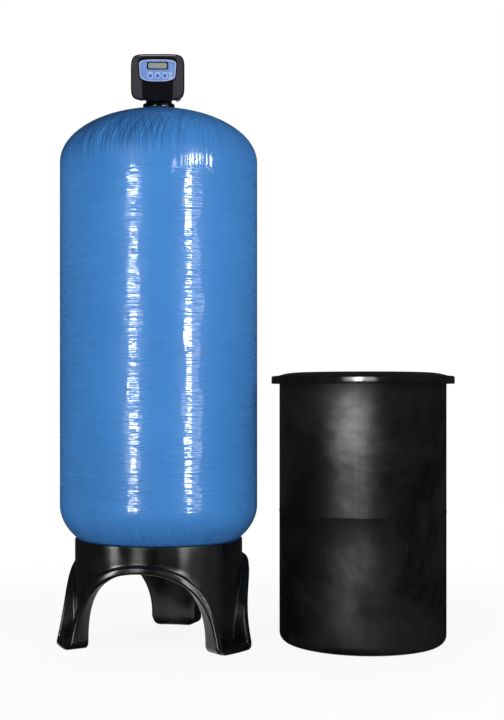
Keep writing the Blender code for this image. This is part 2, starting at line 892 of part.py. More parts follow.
def piston(parent, material, rod_material):
    back = piston_front + piston_length
    land = piston_length * 0.28
    slope = 0.003
    profile = [(0, piston_front), (piston_radius - 0.001, piston_front),
               (piston_radius, piston_front + 0.001), (piston_radius, piston_front + land),
               (piston_waist, piston_front + land + slope),
               (piston_waist, back - land - slope), (piston_radius, back - land),
               (piston_radius, back - 0.001), (piston_radius - 0.001, back), (0, back)]
    bm = bmesh.new()
    spin_profile(bm, profile, small_facets, "Y", (0, 0, bore_height))
    add_object("piston", bm, material, parent, (0, piston_front, bore_height))

    tip = gear_front - nut_length - 0.0245
    end = piston_front - fit
    bm = bmesh.new()
    spin_profile(bm, [(0, tip), (piston_rod_radius - 0.001, tip), (piston_rod_radius, tip + 0.001),
                      (piston_rod_radius, end), (0, end)], small_facets, "Y", (0, 0, bore_height))
    add_object("piston_rod", bm, rod_material, parent, (0, piston_front, bore_height))


# Drive

def involute(angle):
    return math.tan(angle) - angle


def gear_outline(teeth, module, middle, first_tooth):
    """Involute teeth with a little backlash; a tooth is centred on first_tooth."""
    pressure = math.radians(28)
    pitch = teeth * module / 2
    base = pitch * math.cos(pressure)
    root = pitch - 1.15 * module
    tip = pitch + 0.85 * module
    backlash = 0.06 * module / pitch
    half = math.pi / (2 * teeth) - backlash

    def half_tooth(radius):
        spread = math.acos(min(base / max(radius, base), 1.0))
        return half + involute(pressure) - involute(spread)

    levels = [root, tip]
    points = []
    for k in range(teeth):
        centre = first_tooth + 2 * math.pi * k / teeth
        for radius in levels:
            points.append((radius, centre - half_tooth(radius)))
        for radius in levels[::-1]:
            points.append((radius, centre + half_tooth(radius)))
    return [(middle[0] + r * math.cos(t), middle[1] + r * math.sin(t)) for r, t in points]


def drive_cap(parent, material):
    plug_back = barrel_front + drive_cap_plug
    rod_bore = clear_radius(piston_rod_radius + running_fit, mid_facets)
    plug_radius = bore_radius - fit
    flange_back = barrel_front - fit
    front = bracket_front - boss_length
    profile = [(rod_bore, plug_back), (plug_radius, plug_back), (plug_radius, flange_back),
               (drive_cap_radius, flange_back), (drive_cap_radius, bracket_front),
               (boss_radius, bracket_front), (boss_radius, front), (rod_bore, front)]
    bm = bmesh.new()
    spin_profile(bm, profile, mid_facets, "Y", (0, 0, bore_height))
    add_object("drive_cap", bm, material, parent)


def main_drive_gear(parent, material):
    middle = (0, bore_height)
    bm = bmesh.new()
    prism(bm, gear_outline(main_teeth, main_module, middle, idler_angle), gear_front, gear_back)
    gear = add_object("main_drive_gear", bm, material, parent, (0, gear_front, bore_height))
    boss_front = bracket_front - boss_length - fit
    nut_front = boss_front - nut_length
    bm = bmesh.new()
    spin_profile(bm, [(0, gear_back - 0.001), (boss_radius + 0.006, gear_back - 0.001),
                      (boss_radius + 0.004, boss_front), (nut_radius, boss_front - 0.002),
                      (nut_radius, nut_front), (0, nut_front)], small_facets, "Y", (0, 0, bore_height))
    boolean(gear, add_cutter("gear_hub", bm, parent), "UNION")
    bm = bmesh.new()
    boss_bore = clear_radius(boss_radius + running_fit, mid_facets)
    rod_bore = clear_radius(piston_rod_radius + running_fit, mid_facets)
    spin_profile(bm, [(0, gear_back + 0.01), (boss_bore, gear_back + 0.01), (boss_bore, boss_front),
                      (rod_bore, boss_front), (rod_bore, nut_front - 0.01), (0, nut_front - 0.01)],
                 mid_facets, "Y", (0, 0, bore_height))
    boolean(gear, add_cutter("gear_bore", bm, parent), "DIFFERENCE")


def reduction_gear(parent, material):
    middle = (idler_x, idler_z)
    wheel_back = bracket_front - wheel_setback
    wheel_front = wheel_back - wheel_width
    gap = math.pi / pinion_teeth
    bm = bmesh.new()
    prism(bm, gear_outline(wheel_teeth, wheel_module, middle, motor_angle), wheel_front, wheel_back)
    gear = add_object("reduction_gear", bm, material, parent, (idler_x, wheel_front, idler_z))
    bm = bmesh.new()
    prism(bm, gear_outline(pinion_teeth, main_module, middle, idler_angle + math.pi + gap),
          gear_front - 0.001, wheel_front + fit)
    boolean(gear, add_cutter("reduction_pinion", bm, parent), "UNION")
    bm = bmesh.new()
    hole(bm, (idler_x, gear_front - 0.01, idler_z), (idler_x, wheel_back + 0.01, idler_z),
        idler_pin_radius + running_fit)
    boolean(gear, add_cutter("reduction_bore", bm, parent), "DIFFERENCE")


def motor(parent, material, pinion_material):
    bm = bmesh.new()
    front = bracket_back + fit
    back = front + motor_length
    shaft = clear_radius(motor_shaft_radius + running_fit, small_facets)
    profile = [(shaft, front), (motor_radius - 0.001, front), (motor_radius, front + 0.001),
               (motor_radius, back - 0.002), (motor_radius - 0.004, back - 0.001),
               (motor_radius - 0.004, back), (shaft, back)]
    spin_profile(bm, profile, small_facets, "Y", (motor_x, 0, motor_z))
    add_object("drive_motor", bm, material, parent)
    gap = math.pi / pinion_teeth
    wheel_back = bracket_front - wheel_setback
    low = wheel_back - wheel_width + 2 * fit
    high = bracket_front - 0.0005
    bm = bmesh.new()
    outline = gear_outline(pinion_teeth, wheel_module, (motor_x, motor_z), motor_angle + math.pi + gap)
    prism(bm, outline, low, high)
    pinion = add_object("motor_pinion", bm, pinion_material, parent, (motor_x, low, motor_z))
    bm = bmesh.new()
    rod(bm, (motor_x, low + 0.001, motor_z), (motor_x, back - 0.002, motor_z), motor_shaft_radius,
        tiny_facets)
    boolean(pinion, add_cutter("motor_shaft", bm, parent), "UNION")


def drive_bracket(parent, material):
    bm = bmesh.new()
    prism(bm, cover_outline(cover_wall + 2 * fit, bracket_back), bracket_front, bracket_back)
    bracket = add_object("drive_bracket", bm, material, parent)

    bm = bmesh.new()
    hole(bm, (0, bracket_front - 0.01, bore_height), (0, bracket_back + 0.01, bore_height),
        drive_cap_radius + fit, mid_facets)
    boolean(bracket, add_cutter("bracket_bore", bm, parent), "DIFFERENCE")

    bm = bmesh.new()
    for x, z in screw_places():
        hole(bm, (x, bracket_front - 0.01, z), (x, bracket_back + 0.01, z), screw_radius + fit, tiny_facets)
    hole(bm, (motor_x, bracket_front - 0.01, motor_z), (motor_x, bracket_back + 0.01, motor_z),
        motor_shaft_radius * 2, tiny_facets)
    slot_low = cover_middle - cover_half_height - 0.01
    slot_high = body_bottom + 0.004
    box(bm, (-adapter_flange_radius - neck_clearance, bracket_front - 0.01, slot_low),
        (adapter_flange_radius + neck_clearance, bracket_back + 0.01, slot_high))
    boolean(bracket, add_cutter("bracket_holes", bm, parent), "DIFFERENCE")

    bm = bmesh.new()
    for x, z in post_places():
        rod(bm, (x, bracket_front + 0.001, z), (x, board_back + fit, z), post_radius, tiny_facets)
    rod(bm, (idler_x, bracket_front + 0.001, idler_z), (idler_x, gear_front - 0.003, idler_z),
        idler_pin_radius)
    boolean(bracket, add_cutter("bracket_posts", bm, parent), "UNION")


def post_places():
    x = board_half_width - 2 * post_radius
    z = board_half_height - 2 * post_radius
    middle = panel_height
    return [(-x, middle - z), (x, middle - z), (-x, middle + z), (x, middle + z)]


def bracket_screws(parent, material):
    head = bracket_front - fit
    tip = barrel_front + screw_depth
    for k, (x, z) in enumerate(screw_places()):
        bm = bmesh.new()
        profile = [(0, head - screw_head_height), (screw_head_radius * 0.8, head - screw_head_height),
                   (screw_head_radius, head - 0.001), (screw_head_radius, head), (screw_radius, head),
                   (screw_radius, tip), (0, tip)]
        spin_profile(bm, profile, tiny_facets, "Y", (x, 0, z))
        add_object(f"bracket_screw_{k + 1}", bm, material, parent)


# Cover, panel, display and keys

def panel_outline(grow):
    """Bowed top and bottom, sides drawing in towards the bottom, round corners."""
    middle_width = (panel_half_top + panel_half_bottom) / 2 + grow
    taper = (panel_half_top - panel_half_bottom) / 2
    high = panel_half_height + grow
    points = []
    for x, z in superellipse(1.0, 1.0, panel_power, mid_facets):
        points.append((x * (middle_width + taper * z), panel_height + high * z))
    return points


def cover_outline(inset, y=cover_front):
    """The cover draws in towards its open back, most of all underneath."""
    share = max((y - cover_front - cover_edge) / (cover_back - cover_front - cover_edge), 0.0)
    width = cover_half_width - cover_side_draft * share - inset
    height = cover_half_height - (cover_top_draft + cover_bottom_draft) * share / 2 - inset
    middle = cover_middle + (cover_bottom_draft - cover_top_draft) * share / 2
    return superellipse(width, height, cover_power, mid_facets, (0, middle))


def front_cover(parent, material):
    edge = cover_edge
    outer = [at_level(cover_outline(edge), cover_front),
             at_level(cover_outline(edge * 0.35), cover_front + edge * 0.25),
             at_level(cover_outline(0.0), cover_front + edge),
             at_level(cover_outline(0.0, cover_back), cover_back)]
    wall = cover_wall
    inner = [at_level(cover_outline(wall, cover_back), cover_back),
             at_level(cover_outline(wall), cover_front + edge),
             at_level(cover_outline(wall + edge * 0.35), cover_front + edge * 0.25 + wall * 0.7),
             at_level(cover_outline(edge + wall * 0.6), cover_front + wall)]
    bm = bmesh.new()
    loft(bm, outer + inner)
    cover = add_object("front_cover", bm, material, parent, sharp=25)

    bm = bmesh.new()
    prism(bm, panel_outline(fit), cover_front - 0.01, cover_front + 0.01)
    boolean(cover, add_cutter("panel_opening", bm, parent), "DIFFERENCE")

    bm = bmesh.new()
    low = cover_middle - cover_half_height - 0.01
    high = low + 0.01 + inlay_height
    outline = [(-inlay_half_width + inlay_taper, low), (inlay_half_width - inlay_taper, low),
               (inlay_half_width, high - 0.004), (inlay_half_width - 0.004, high),
               (-inlay_half_width + 0.004, high), (-inlay_half_width, high - 0.004)]
    prism(bm, outline, cover_front - 0.01, cover_front + inlay_depth)
    boolean(cover, add_cutter("inlay_recess", bm, parent), "DIFFERENCE")

    bm = bmesh.new()
    reach = adapter_flange_radius + neck_clearance
    arc = [math.pi + math.pi * k / 12 for k in range(13)]
    outline = [(reach * math.cos(t), reach * math.sin(t)) for t in arc]
    outline += [(reach, cover_back + 0.01), (-reach, cover_back + 0.01)]
    prism(bm, outline, cover_middle - cover_half_height - 0.01, bore_height, "Z")
    boolean(cover, add_cutter("neck_opening", bm, parent), "DIFFERENCE")


def key_places():
    return [(k * key_spacing, key_height) for k in (-1, 0, 1)]


def arrow_outline(grow, side):
    """A stretch of ring round the right-hand key, above or below its middle."""
    steps = 5
    x0, z0 = key_places()[2]
    low = arrow_inner - grow
    high = arrow_outer + grow
    gap = grow / arrow_inner
    start = arrow_from - gap * 0.6
    stop = arrow_to + gap
    angles = [start + (stop - start) * k / steps for k in range(steps + 1)]
    points = [(high * math.cos(t), high * math.sin(t)) for t in angles]
    points += [(low * math.cos(t), low * math.sin(t)) for t in angles[::-1]]
    return [(x0 + x, z0 + side * z) for x, z in points]


def control_panel(parent, material):
    bm = bmesh.new()
    behind = cover_front + cover_wall + fit
    loops = [at_level(panel_outline(-0.0012), panel_face),
             at_level(panel_outline(0.0), panel_face + 0.0008),
             at_level(panel_outline(0.0), behind),
             at_level(panel_outline(panel_flange), behind),
             at_level(panel_outline(panel_flange), panel_back)]
    loft(bm, loops)
    panel = add_object("control_panel", bm, material, parent, sharp=25)
    bm = bmesh.new()
    clear = 0.00025
    for x, z in key_places():
        prism(bm, polygon(key_radius + clear, small_facets, (x, z)), panel_face - 0.01, panel_back + 0.01)
    for side in (-1, 1):
        prism(bm, arrow_outline(clear, side), panel_face - 0.01, panel_back + 0.01)
    opening = superellipse(window_half_width, window_half_height, 9, small_facets, (0, window_height))
    prism(bm, opening, panel_face - 0.01, panel_back + 0.01)
    boolean(panel, add_cutter("panel_holes", bm, parent), "DIFFERENCE")


def display(parent, glass, module_material):
    outline = superellipse(window_half_width - fit, window_half_height - fit, 9, small_facets,
                           (0, window_height))
    bm = bmesh.new()
    prism(bm, outline, panel_face + 0.0004, panel_back - 0.0002)
    add_object("display_window", bm, glass, parent)
    bm = bmesh.new()
    deep = window_half_height + 0.001
    box(bm, (-window_half_width + 0.002, panel_back + fit, window_height - deep),
        (window_half_width - 0.002, board_front - fit, window_height + deep))
    add_object("display_module", bm, module_material, parent)


def keys(parent, key_material, arrow_material):
    flange_front = panel_back + fit
    flange_back = flange_front + key_flange_thickness
    top = panel_face - key_proud
    for name, (x, z) in zip(("key_left", "key_middle", "key_right"), key_places()):
        bm = bmesh.new()
        profile = [(0, top), (key_radius - 0.0008, top), (key_radius, top + 0.0006),
                   (key_radius, flange_front), (key_radius + key_flange, flange_front),
                   (key_radius + key_flange, flange_back), (0, flange_back)]
        spin_profile(bm, profile, small_facets, "Y", (x, 0, z))
        add_object(name, bm, key_material, parent, (x, flange_front, z))
    for name, side in (("key_up", 1), ("key_down", -1)):
        bm = bmesh.new()
        flange_grow = 0.0010
        loops = [at_level(arrow_outline(-0.0006, side), top),
                 at_level(arrow_outline(0.0, side), top + 0.0006),
                 at_level(arrow_outline(0.0, side), flange_front),
                 at_level(arrow_outline(flange_grow, side), flange_front),
                 at_level(arrow_outline(flange_grow, side), flange_back)]
        loft(bm, loops)
        x, z = arrow_middle(side)
        add_object(name, bm, arrow_material, parent, (x, flange_front, z))


def arrow_middle(side):
    x0, z0 = key_places()[2]
    reach = (arrow_inner + arrow_outer) / 2
    turn = side * (arrow_from + arrow_to) / 2
    return x0 + reach * math.cos(turn), z0 + reach * math.sin(turn)


def circuit_board(parent, material):
    bm = bmesh.new()
    box(bm, (-board_half_width, board_front, panel_height - board_half_height),
        (board_half_width, board_back, panel_height + board_half_height))
    board = add_object("circuit_board", bm, material, parent)
    bm = bmesh.new()
    half = 0.003
    plunger = panel_back + fit + key_flange_thickness + key_travel + fit
    for x, z in key_places() + [arrow_middle(1), arrow_middle(-1)]:
        box(bm, (x - half, plunger, z - half), (x + half, board_front + 0.0005, z + half))
    for x, wide in ((-0.045, 0.008), (0.0, 0.012), (0.040, 0.006)):
        box(bm, (x - wide, board_back - 0.0005, panel_height + 0.004),
            (x + wide, board_back + 0.004, panel_height + 0.020))
    boolean(board, add_cutter("board_parts", bm, parent), "UNION")


# Valve fittings

def pipe_connectors(parent, material, nut_material):
    port_height = bore_height - stub_drop
    start = barrel_back + stub_reach + fit
    end = start + connector_reach
    for side, name in ((-1, "inlet"), (1, "outlet")):
        x = side * stub_offset
        bm = bmesh.new()
        inner = stub_bore
        profile = [(inner, start), (stub_radius - 0.0005, start), (stub_radius - 0.0005, start + 0.004),
                   (inner + connector_wall, start + 0.005), (inner + connector_wall, end), (inner, end)]
        spin_profile(bm, profile, small_facets, "Y", (x, 0, port_height))
        add_object(f"{name}_connector", bm, material, parent)
    nut_start = start - 0.014
    nut_end = nut_start + union_nut_length
    reach = min(union_nut_radius, stub_offset - 0.0005)
    clear = clear_radius(stub_radius + fit, small_facets)
    neck = clear_radius(stub_bore + connector_wall + fit, small_facets)
    for side, name in ((-1, "inlet"), (1, "outlet")):
        x = side * stub_offset
        ridges = 9
        outer = [(reach if k % 2 else reach - 0.0012) for k in range(2 * ridges)]
        bm = bmesh.new()
        shape = [(x + r * math.cos(math.pi * k / ridges), port_height + r * math.sin(math.pi * k / ridges))
                 for k, r in enumerate(outer)]
        prism(bm, shape, nut_start, nut_end)
        nut = add_object(f"{name}_union_nut", bm, nut_material, parent)
        bm = bmesh.new()
        shoulder = start + 0.006
        spin_profile(bm, [(0, nut_start - 0.01), (clear, nut_start - 0.01), (clear, shoulder),
                          (neck, shoulder), (neck, nut_end + 0.01), (0, nut_end + 0.01)],
                     small_facets, "Y", (x, 0, port_height))
        boolean(nut, add_cutter(f"{name}_nut_bore", bm, parent), "DIFFERENCE")


def flow_meter(parent, material, cage_material):
    """A small axial turbine in the outlet connector, on a pin held by a spider."""
    x = stub_offset
    z = bore_height - stub_drop
    middle = barrel_back + stub_reach + connector_reach * 0.55
    pin = 0.0012
    hub = 0.0035
    loops = []
    steps = 2
    for k in range(steps + 1):
        level = middle - turbine_length / 2 + turbine_length * k / steps
        twist = turbine_twist * k / steps
        ring = []
        for b in range(turbine_blades):
            t = twist + 2 * math.pi * b / turbine_blades
            gap = math.pi / turbine_blades
            thin = 0.06
            ring += [(hub, t - gap * 0.55), (turbine_radius, t - thin), (turbine_radius, t + thin),
                     (hub, t + gap * 0.55)]
        loops.append([Vector((x + r * math.cos(t), level, z + r * math.sin(t))) for r, t in ring])
    bm = bmesh.new()
    loft(bm, loops)
    wheel = add_object("meter_turbine", bm, material, parent, (x, middle, z))
    bm = bmesh.new()
    hole(bm, (x, middle - 0.02, z), (x, middle + 0.02, z), pin + running_fit, tiny_facets)
    boolean(wheel, add_cutter("turbine_bore", bm, parent), "DIFFERENCE")

    outer = stub_bore - fit
    back = middle + turbine_length / 2 + 0.0006
    bm = bmesh.new()
    spin_profile(bm, [(outer - 0.0018, back), (outer, back), (outer, back + 0.006),
                      (outer - 0.0018, back + 0.006)], small_facets, "Y", (x, 0, z))
    cage = add_object("meter_cage", bm, cage_material, parent)
    bm = bmesh.new()
    points = []
    for k in range(cage_arms):
        t = 2 * math.pi * k / cage_arms
        spread = 0.10
        far = outer - 0.0008
        points += [(far, t - spread), (far, t + spread), (0.004, t + math.pi / cage_arms)]
    prism(bm, [(x + r * math.cos(t), z + r * math.sin(t)) for r, t in points], back + 0.001, back + 0.005)
    boolean(cage, add_cutter("cage_spider", bm, parent), "UNION")
    bm = bmesh.new()
    rod(bm, (x, middle - turbine_length / 2 - 0.001, z), (x, back + 0.003, z), pin, tiny_facets)
    boolean(cage, add_cutter("cage_pin", bm, parent), "UNION")


def side_caps(parent, material):
    """The injector's cap on one side of the body and the refill control's cap on the other."""
    z = bore_height - stub_drop
    start = block_half_width + 0.006 + fit
    for side, name in ((1, "injector_cap"), (-1, "refill_cap")):
        end = start + injector_cap_length
        loops = []
        for reach, radius in ((start, injector_cap_radius), (end - 0.002, injector_cap_radius),
                              (end, injector_cap_radius - 0.002)):
            outline = polygon(radius, 12)
            loops.append([Vector((side * reach, cap_y + a, z + b)) for a, b in outline])
        bm = bmesh.new()
        loft(bm, loops)
        add_object(name, bm, material, parent)


def line_elbows(parent, material, nut_material):
    nipple_y = cover_back + nipple_setback
    start = block_half_width + 0.008 + fit
    z = bore_height - 0.010
    for side, radius, name in ((1, drain_radius, "drain_elbow"), (-1, brine_radius, "brine_elbow")):
        bend = elbow_bend
        corner = start + bend + 0.004
        path = bend_path((side * start, nipple_y, z), (side * corner, nipple_y, z),
                         (side * corner, nipple_y + elbow_reach, z), bend)
        bm = bmesh.new()
        pipe(bm, path, radius, radius - line_wall, (0, 0, 1), tiny_facets)
        add_object(name, bm, material, parent)
        end = nipple_y + elbow_reach
        clear = radius + fit
        bm = bmesh.new()
        outline = polygon(radius + 0.005, 6, (side * corner, z), math.pi / 6)
        prism(bm, outline, end - line_nut_length - 0.004, end - 0.004)
        nut = add_object(name.replace("elbow", "nut"), bm, nut_material, parent)
        bm = bmesh.new()
        hole(bm, (side * corner, end - 0.03, z), (side * corner, end + 0.01, z), clear)
        boolean(nut, add_cutter(name + "_nut_bore", bm, parent), "DIFFERENCE")


# Brine tank

def brine_outer_profile():
    points = [(0, 0)]
    steps = 3
    for k in range(steps + 1):
        t = math.pi / 2 * k / steps
        inset = brine_corner * (1 - math.sin(t))
        points.append((brine_radius_outer - inset, brine_corner * (1 - math.cos(t))))
    bead = brine_radius_outer + weld_bead
    points += [(brine_radius_outer, weld_height - 0.004), (bead, weld_height),
               (brine_radius_outer, weld_height + 0.004)]
    rim = brine_radius_outer + brine_rim
    low = brine_height - brine_rim_height
    points += [(brine_radius_outer, low - 0.004), (rim, low), (rim, brine_height)]
    return points


def brine_tank(parent, material):
    inner = brine_radius_outer - brine_wall
    corner = brine_corner - brine_wall
    outer = brine_outer_profile()
    inside = [(inner, brine_height), (inner, brine_corner)]
    steps = 2
    for k in range(1, steps + 1):
        t = math.pi / 2 * k / steps
        inside.append((inner - corner * (1 - math.cos(t)), brine_wall + corner * (1 - math.sin(t))))
    inside.append((0, brine_wall))
    bm = bmesh.new()
    spin_profile(bm, outer + inside, big_facets)
    tank = add_object("brine_tank", bm, material, parent)

    bm = bmesh.new()
    low = brine_radius_outer - 4 * brine_wall
    high = brine_radius_outer + 0.02
    hole(bm, (0, low, brine_line_height), (0, high, brine_line_height), brine_radius + fit)
    way = Vector((math.sin(-overflow_angle), math.cos(overflow_angle), 0))
    hole(bm, way * low + Vector((0, 0, overflow_height)), way * high + Vector((0, 0, overflow_height)),
        overflow_radius + fit)
    boolean(tank, add_cutter("brine_tank_holes", bm, parent), "DIFFERENCE")


def brine_lid(parent, material):
    """Low crowned lid whose skirt hangs over the tank's rim."""
    seat = brine_height + fit
    top = seat + lid_wall
    skirt_low = top + lid_edge - lid_skirt
    crown_steps = 3
    points = [(lid_radius - lid_wall, skirt_low), (lid_radius - 0.001, skirt_low),
              (lid_radius, skirt_low + 0.001)]
    for k in range(3):
        t = math.pi / 2 * k / 2
        points.append((lid_radius - lid_edge * (1 - math.cos(t)), top + lid_edge * math.sin(t)))
    rim = lid_radius - lid_edge
    for k in range(1, crown_steps + 1):
        share = (k / crown_steps) ** 2
        rise = lid_crown * (1 - (1 - share) ** lid_crown_power)
        points.append((rim * (1 - share), top + lid_edge + rise))
    inner_rim = lid_radius - lid_wall - 0.002
    flat = brine_radius_outer - brine_wall - 0.004
    under = [(0, top + lid_crown)]
    for k in range(1, crown_steps):
        share = (1 - k / crown_steps) ** 2
        rise = lid_crown * (1 - (1 - share) ** lid_crown_power)
        under.append((flat * (1 - share), seat + rise))
    under += [(flat, seat), (inner_rim, seat)]
    bm = bmesh.new()
    profile = points + under
    start = profile.index((0, points[-1][1]))
    ordered = profile[start + 1:] + profile[:start + 1]
    spin_profile(bm, ordered, big_facets)
    add_object("brine_lid", bm, material, parent)


def salt_grid(parent, material):
    radius = (brine_radius_outer - brine_wall) * math.cos(math.pi / big_facets) - fit
    bm = bmesh.new()
    rod(bm, (0, 0, grid_height), (0, 0, grid_height + grid_thickness), radius, mid_facets)
    grid = add_object("salt_grid", bm, material, parent)
    bm = bmesh.new()
    for k in range(grid_slots):
        t = math.pi / 2 + 2 * math.pi * (k + 0.5) / grid_slots
        way = Vector((math.cos(t), math.sin(t), 0))
        across = Vector((-way.y, way.x, 0)) * (grid_slot_width / 2)
        near = 0.10
        far = well_y - well_radius - 0.02
        corners = [way * near - across, way * far - across, way * far + across, way * near + across]
        prism(bm, [(p.x, p.y) for p in corners], grid_height - 0.01, grid_height + grid_thickness + 0.01, "Z")
    boolean(grid, add_cutter("grid_slots", bm, parent), "DIFFERENCE")
    bm = bmesh.new()
    hole(bm, (0, well_y, grid_height - 0.01), (0, well_y, grid_height + grid_thickness + 0.01),
        well_radius + fit, mid_facets)
    boolean(grid, add_cutter("grid_well_hole", bm, parent), "DIFFERENCE")
    bm = bmesh.new()
    for k in range(grid_legs):
        t = math.pi / 2 + 2 * math.pi * (k + 0.5) / grid_legs
        x = radius * 0.78 * math.cos(t)
        y = radius * 0.78 * math.sin(t)
        rod(bm, (x, y, brine_wall + fit), (x, y, grid_height + 0.002), grid_leg_radius, tiny_facets)
    boolean(grid, add_cutter("grid_legs", bm, parent), "UNION")


def brine_well(parent, material, cap_material):
    inner = well_radius - well_wall
    bottom = brine_wall + fit
    bm = bmesh.new()
    spin_profile(bm, [(inner, bottom), (well_radius, bottom), (well_radius, well_height),
                      (inner, well_height)], mid_facets, "Z", (0, well_y, 0))
    well = add_object("brine_well", bm, material, parent)
    bm = bmesh.new()
    for k in range(well_slots):
        z = 0.03 + 0.022 * k
        box(bm, (-well_radius - 0.01, well_y - 0.012, z), (well_radius + 0.01, well_y + 0.012, z + 0.008))
    hole(bm, (0, well_y, brine_line_height), (0, brine_radius_outer, brine_line_height), brine_radius + fit)
    boolean(well, add_cutter("well_holes", bm, parent), "DIFFERENCE")
    low = well_height - well_cap_height
    top = well_height + fit
    outside = clear_radius(well_radius + fit, mid_facets)
    bm = bmesh.new()
    spin_profile(bm, [(0, top), (outside, top), (outside, low), (outside + 0.0025, low),
                      (outside + 0.0025, top + 0.002), (outside, top + 0.004), (0, top + 0.004)],
                 mid_facets, "Z", (0, well_y, 0))
    add_object("brine_well_cap", bm, cap_material, parent)


def safety_float_valve(parent, body_material, float_material, rod_material):
    """The valve hangs on the brine line; its rod and float rise with the brine and shut it."""
    low = brine_line_height - safety_valve_height / 2
    high = brine_line_height + safety_valve_height / 2
    rod_bore = clear_radius(float_rod_radius + running_fit, small_facets)
    bm = bmesh.new()
    spin_profile(bm, [(rod_bore, low), (safety_valve_radius - 0.002, low), (safety_valve_radius, low + 0.002),
                      (safety_valve_radius, high - 0.004), (safety_valve_radius - 0.004, high),
                      (rod_bore, high)], small_facets, "Z", (0, well_y, 0))
    valve = add_object("safety_valve", bm, body_material, parent)
    pickup_x = float_radius + pickup_radius + 0.003
    bm = bmesh.new()
    boss = pickup_radius + 0.003
    box(bm, (safety_valve_radius / 2, well_y - boss, low + 0.008),
        (pickup_x + boss, well_y + boss, low + 0.008 + 2 * boss))
    boolean(valve, add_cutter("valve_pickup_boss", bm, parent), "UNION")

    bm = bmesh.new()
    start = well_y + safety_valve_radius + fit
    end = brine_radius_outer + 0.034
    spin_profile(bm, [(brine_radius - line_wall, start), (brine_radius, start), (brine_radius, end),
                      (brine_radius - line_wall, end)], small_facets, "Y", (0, 0, brine_line_height))
    add_object("brine_line_fitting", bm, body_material, parent)
    bm = bmesh.new()
    near = brine_radius_outer + fit
    prism(bm, polygon(brine_radius + 0.006, 6, (0, brine_line_height), math.pi / 6), near, near + 0.010)
    nut = add_object("brine_line_nut", bm, float_material, parent)
    bm = bmesh.new()
    hole(bm, (0, near - 0.01, brine_line_height), (0, near + 0.03, brine_line_height), brine_radius + fit)
    boolean(nut, add_cutter("line_nut_bore", bm, parent), "DIFFERENCE")

    bm = bmesh.new()
    pipe_low = air_check_height + brine_wall + 0.004
    spin_profile(bm, [(pickup_radius - 0.0015, pipe_low), (pickup_radius, pipe_low),
                      (pickup_radius, low + 0.008 - fit), (pickup_radius - 0.0015, low + 0.008 - fit)],
                 tiny_facets, "Z", (pickup_x, well_y, 0))
    add_object("pickup_tube", bm, float_material, parent)
    bm = bmesh.new()
    check_low = brine_wall + fit
    check_high = pipe_low - fit
    neck = (check_high - check_low) * 0.75 + check_low
    spin_profile(bm, [(0, check_low), (air_check_radius, check_low), (air_check_radius, neck),
                      (pickup_radius + 0.001, check_high), (0, check_high)], small_facets, "Z",
                 (pickup_x, well_y, 0))
    add_object("air_check", bm, body_material, parent)

    bm = bmesh.new()
    rod_low = float_centre_height - float_height / 2 - 0.012
    collar = float_rod_radius + 0.004
    rod_high = high + 0.012
    rest = high + fit
    spin_profile(bm, [(0, rod_low), (collar, rod_low), (collar, rod_low + 0.005),
                      (float_rod_radius, rod_low + 0.005), (float_rod_radius, rest), (collar, rest),
                      (collar, rest + 0.004), (float_rod_radius, rod_high), (0, rod_high)],
                 tiny_facets, "Z", (0, well_y, 0))
    add_object("float_rod", bm, rod_material, parent, (0, well_y, rod_low))
    base = rod_low + 0.005 + fit
    top = base + float_height
    inner = clear_radius(float_rod_radius + fit, small_facets)
    bm = bmesh.new()
    spin_profile(bm, [(inner, base), (float_radius - 0.004, base), (float_radius, base + 0.006),
                      (float_radius, top - 0.006), (float_radius - 0.004, top), (inner, top)],
                 small_facets, "Z", (0, well_y, 0))
    add_object("float", bm, float_material, parent, (0, well_y, rod_low))


def overflow_fitting(parent, material, nut_material):
    """Elbow through the back wall with a nut outside it, modelled at the back and then turned."""
    inside = brine_radius_outer - brine_wall - 0.012
    corner = brine_radius_outer + 0.036
    turn = Matrix.Rotation(overflow_angle, 4, "Z")
    z = overflow_height
    path = bend_path((0, inside, z), (0, corner, z), (0, corner, z - 0.034), 0.015)
    bm = bmesh.new()
    pipe(bm, path, overflow_radius, overflow_radius - line_wall, (1, 0, 0), tiny_facets)
    bmesh.ops.rotate(bm, cent=(0, 0, 0), matrix=turn.to_3x3(), verts=bm.verts)
    add_object("overflow_elbow", bm, material, parent)
    near = brine_radius_outer + fit
    bm = bmesh.new()
    prism(bm, polygon(overflow_nut_radius, 6, (0, z), math.pi / 6), near, near + 0.009)
    bmesh.ops.rotate(bm, cent=(0, 0, 0), matrix=turn.to_3x3(), verts=bm.verts)
    nut = add_object("overflow_nut", bm, nut_material, parent)
    bm = bmesh.new()
    hole(bm, (0, near - 0.01, z), (0, near + 0.012, z), overflow_radius + fit)
    bmesh.ops.rotate(bm, cent=(0, 0, 0), matrix=turn.to_3x3(), verts=bm.verts)
    boolean(nut, add_cutter("overflow_nut_bore", bm, parent), "DIFFERENCE")


# The model

clear_scene()
material_tank = finish("wound_fibreglass_blue", (0.085, 0.26, 0.60), 0.28)
material_base = finish("moulded_black_gloss", (0.012, 0.012, 0.013), 0.22)
material_body = finish("valve_black", (0.02, 0.02, 0.022), 0.35)
material_cover = finish("cover_graphite", (0.045, 0.042, 0.055), 0.40)
material_panel = finish("panel_blue", (0.13, 0.30, 0.85), 0.35)
material_key = finish("key_blue", (0.10, 0.24, 0.75), 0.40)
material_arrow = finish("key_pale", (0.55, 0.66, 0.85), 0.40)
material_glass = finish("display_glass", (0.05, 0.05, 0.05), 0.06, 0.0, 0.5)
material_lcd = finish("display_grey", (0.23, 0.26, 0.22), 0.5)
material_board = finish("circuit_green", (0.02, 0.16, 0.06), 0.45)
material_brine = finish("brine_tank_black", (0.022, 0.021, 0.020), 0.48)
material_white = finish("white_plastic", (0.80, 0.80, 0.78), 0.45)
material_nylon = finish("grey_nylon", (0.35, 0.35, 0.36), 0.5)
